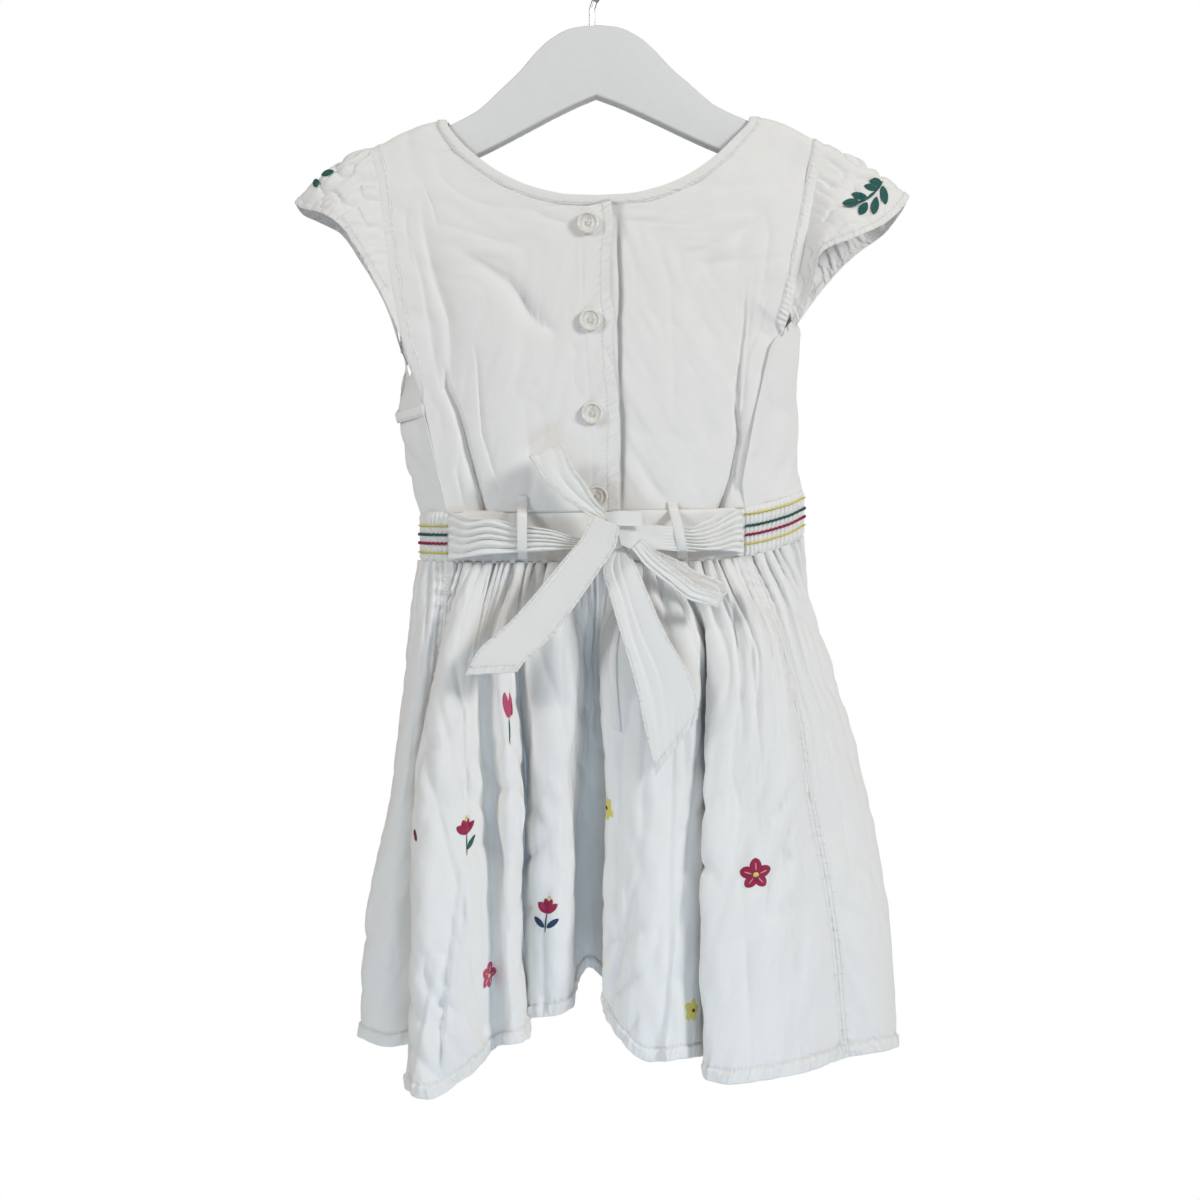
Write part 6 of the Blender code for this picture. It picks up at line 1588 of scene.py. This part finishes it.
# Lamps: place and aim in metres, power in watts, size, spread in degrees and colour
LAMPS = {
    "key": ((1.5, -1.15, 0.5), (0, 0, -0.36), 21.2, 0.45, 180, (1.0, 0.991, 0.982)),
    "fill": ((-1.3, -1.0, 0.4), (0, 0, -0.25), 10.1, 0.45, 180, (1.0, 0.994, 0.988)),
    "low": ((0.1, -0.9, -1.15), (0, 0, -0.70), 0.50, 0.5, 52, (0.46, 0.72, 1.0)),
    "rear": ((0.4, 1.8, 0.4), (0, 0, -0.38), 14.0, 1.4, 180, (1.0, 1.0, 1.0)),
}
SURROUND = ((1.0, 0.99, 0.965, 1), 0.275)      # colour and strength of the light from all round
FLOOR_DROP, FLOOR_RADIUS = 1.2, 1.1
CAMERA_PLACE = (0.00448, -1.15, -0.37868)
VIEW_WIDTH = 0.672         # metres seen across the dress's middle plane


def add_to_scene(name, data, place=(0, 0, 0), turn=(0, 0, 0)):
    """A new object in the scene."""
    made = bpy.data.objects.new(name, data)
    made.location, made.rotation_euler = place, turn
    bpy.context.scene.collection.objects.link(made)
    return made


def build_stage():
    """A pale floor well below the hem, a soft white surround, soft lamps and the camera."""
    count = 49
    turn = np.linspace(0, 2 * math.pi, count)[None, :]
    radius = np.array([0.001, 0.5, FLOOR_RADIUS])[:, None]
    floor = np.stack([radius * np.cos(turn), radius * np.sin(turn), 0 * radius * turn - FLOOR_DROP], -1)
    mesh = bpy.data.meshes.new("floor")
    first = np.arange(2)[:, None] * count + np.arange(count - 1)[None, :]
    quads = np.stack([first, first + count, first + count + 1, first + 1], -1).reshape(-1, 4)
    mesh.from_pydata(floor.reshape(-1, 3).tolist(), [], quads.tolist())
    made, tree, shader = new_material("pale_floor")
    tree.feed(shader, {"Base Color": (0.8, 0.8, 0.8, 1)})
    mesh.materials.append(made)
    add_to_scene("floor", mesh)
    world = bpy.data.worlds.new("studio")
    bpy.context.scene.world = world
    world.use_nodes = True
    tree, nodes = Shading(world.node_tree), world.node_tree.nodes
    tree.feed(nodes["Background"], dict(zip(("Color", "Strength"), SURROUND)))
    seen = tree.add("Background", {"Color": (1, 1, 1, 1), "Strength": 1.0})
    mix = tree.add("MixShader", {0: tree.add("LightPath").outputs["Is Camera Ray"],
                                 1: nodes["Background"].outputs[0], 2: seen.outputs[0]})
    tree.feed(nodes["World Output"], {0: mix.outputs[0]})
    for name, (place, aim, power, size, spread, colour) in LAMPS.items():
        lamp = bpy.data.lights.new(name, "AREA")
        lamp.energy, lamp.size, lamp.color, lamp.spread = power, size, colour, math.radians(spread)
        x, y, z = np.array(aim) - np.array(place)
        add_to_scene(name, lamp, place, (math.atan2(math.hypot(x, y), -z), 0, math.atan2(y, x) - math.pi / 2))
    camera = bpy.data.cameras.new("camera")
    camera.sensor_width = 36.0
    camera.lens = camera.sensor_width * -CAMERA_PLACE[1] / VIEW_WIDTH
    bpy.context.scene.camera = add_to_scene("camera", camera, CAMERA_PLACE, (math.pi / 2, 0, 0))
    bpy.context.scene.view_settings.view_transform = "Standard"


def build_leaves(sleeves):
    """Leaf sprays on the sleeves, on the buttoned side and again, turned over, on the front."""
    for name, leaves, stem in (("sleeve_right", RIGHT_LEAVES, RIGHT_STEM), ("sleeve_left", LEFT_LEAVES, ())):
        patches = []
        for behind in (False, True):
            patches += [laid_leaf(sleeves[name], *leaf, behind) for leaf in leaves]
            for (x, drop), (end_x, end_drop) in zip(stem[:-1], stem[1:]):
                across, down = end_x - x, end_drop - drop
                length, turn = math.hypot(across, down) * 1.1, math.degrees(math.atan2(down, across))
                patches.append(laid_leaf(sleeves[name], x + across / 2, drop + down / 2, length, STEM_WIDE,
                                         turn, behind))
        grids, facings = zip(*patches)
        piece = add_grid(name + "_embroidery", grids, ["thread_teal"] * len(grids), facings)


def laid_leaf(grid, x, drop, length, width, turn, behind):
    """A satin leaf laid straight on the side of a cloth that is seen at x and drop, and the side it faces."""
    along, across = np.linspace(-1, 1, 11)[:, None], np.linspace(-1, 1, 7)[None, :]
    u = along * length * LEAF_GROWTH / 2 + 0 * across
    v = width * LEAF_GROWTH / 2 * np.clip(1 - along ** 2, 0, 1) ** 0.75 * across
    cosine, sine = around(turn)
    right, down = x + u * cosine - v * sine, drop + u * sine + v * cosine
    facing = 1 if behind else -1
    away = (grid[..., 0] - right[..., None, None]) ** 2 + (grid[..., 2] - down[..., None, None]) ** 2
    score = np.where(away < 2.0, -grid[..., 1] * facing + away * 0.5, 1e3 + away)
    best = np.argmin(score.reshape(right.shape + (-1,)), axis=-1)
    height = 0.15 + 0.4 * (1 - across ** 2) * np.clip(1 - along ** 4, 0, 1)
    points = np.stack([right, grid.reshape(-1, 3)[best][..., 1] + facing * height, down], -1)
    return points, np.broadcast_to(-BACKWARD * facing, points.shape)


build_stage()
build_board()
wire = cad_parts["hanger_hook"].data.materials
for slot in range(len(wire)):
    wire[slot] = FINISHES["steel"]
panels, panel_leans = build_bodice()
build_bands()
build_leaves({name: build_sleeve(name, rows, seed) for name, rows, seed in (
    ("sleeve_left", LEFT_SLEEVE, 81), ("sleeve_right", RIGHT_SLEEVE, 83))})
build_waistbands()
build_skirt()
build_sash()
build_belt_loops(panels, panel_leans)
build_buttons(panels, panel_leans)
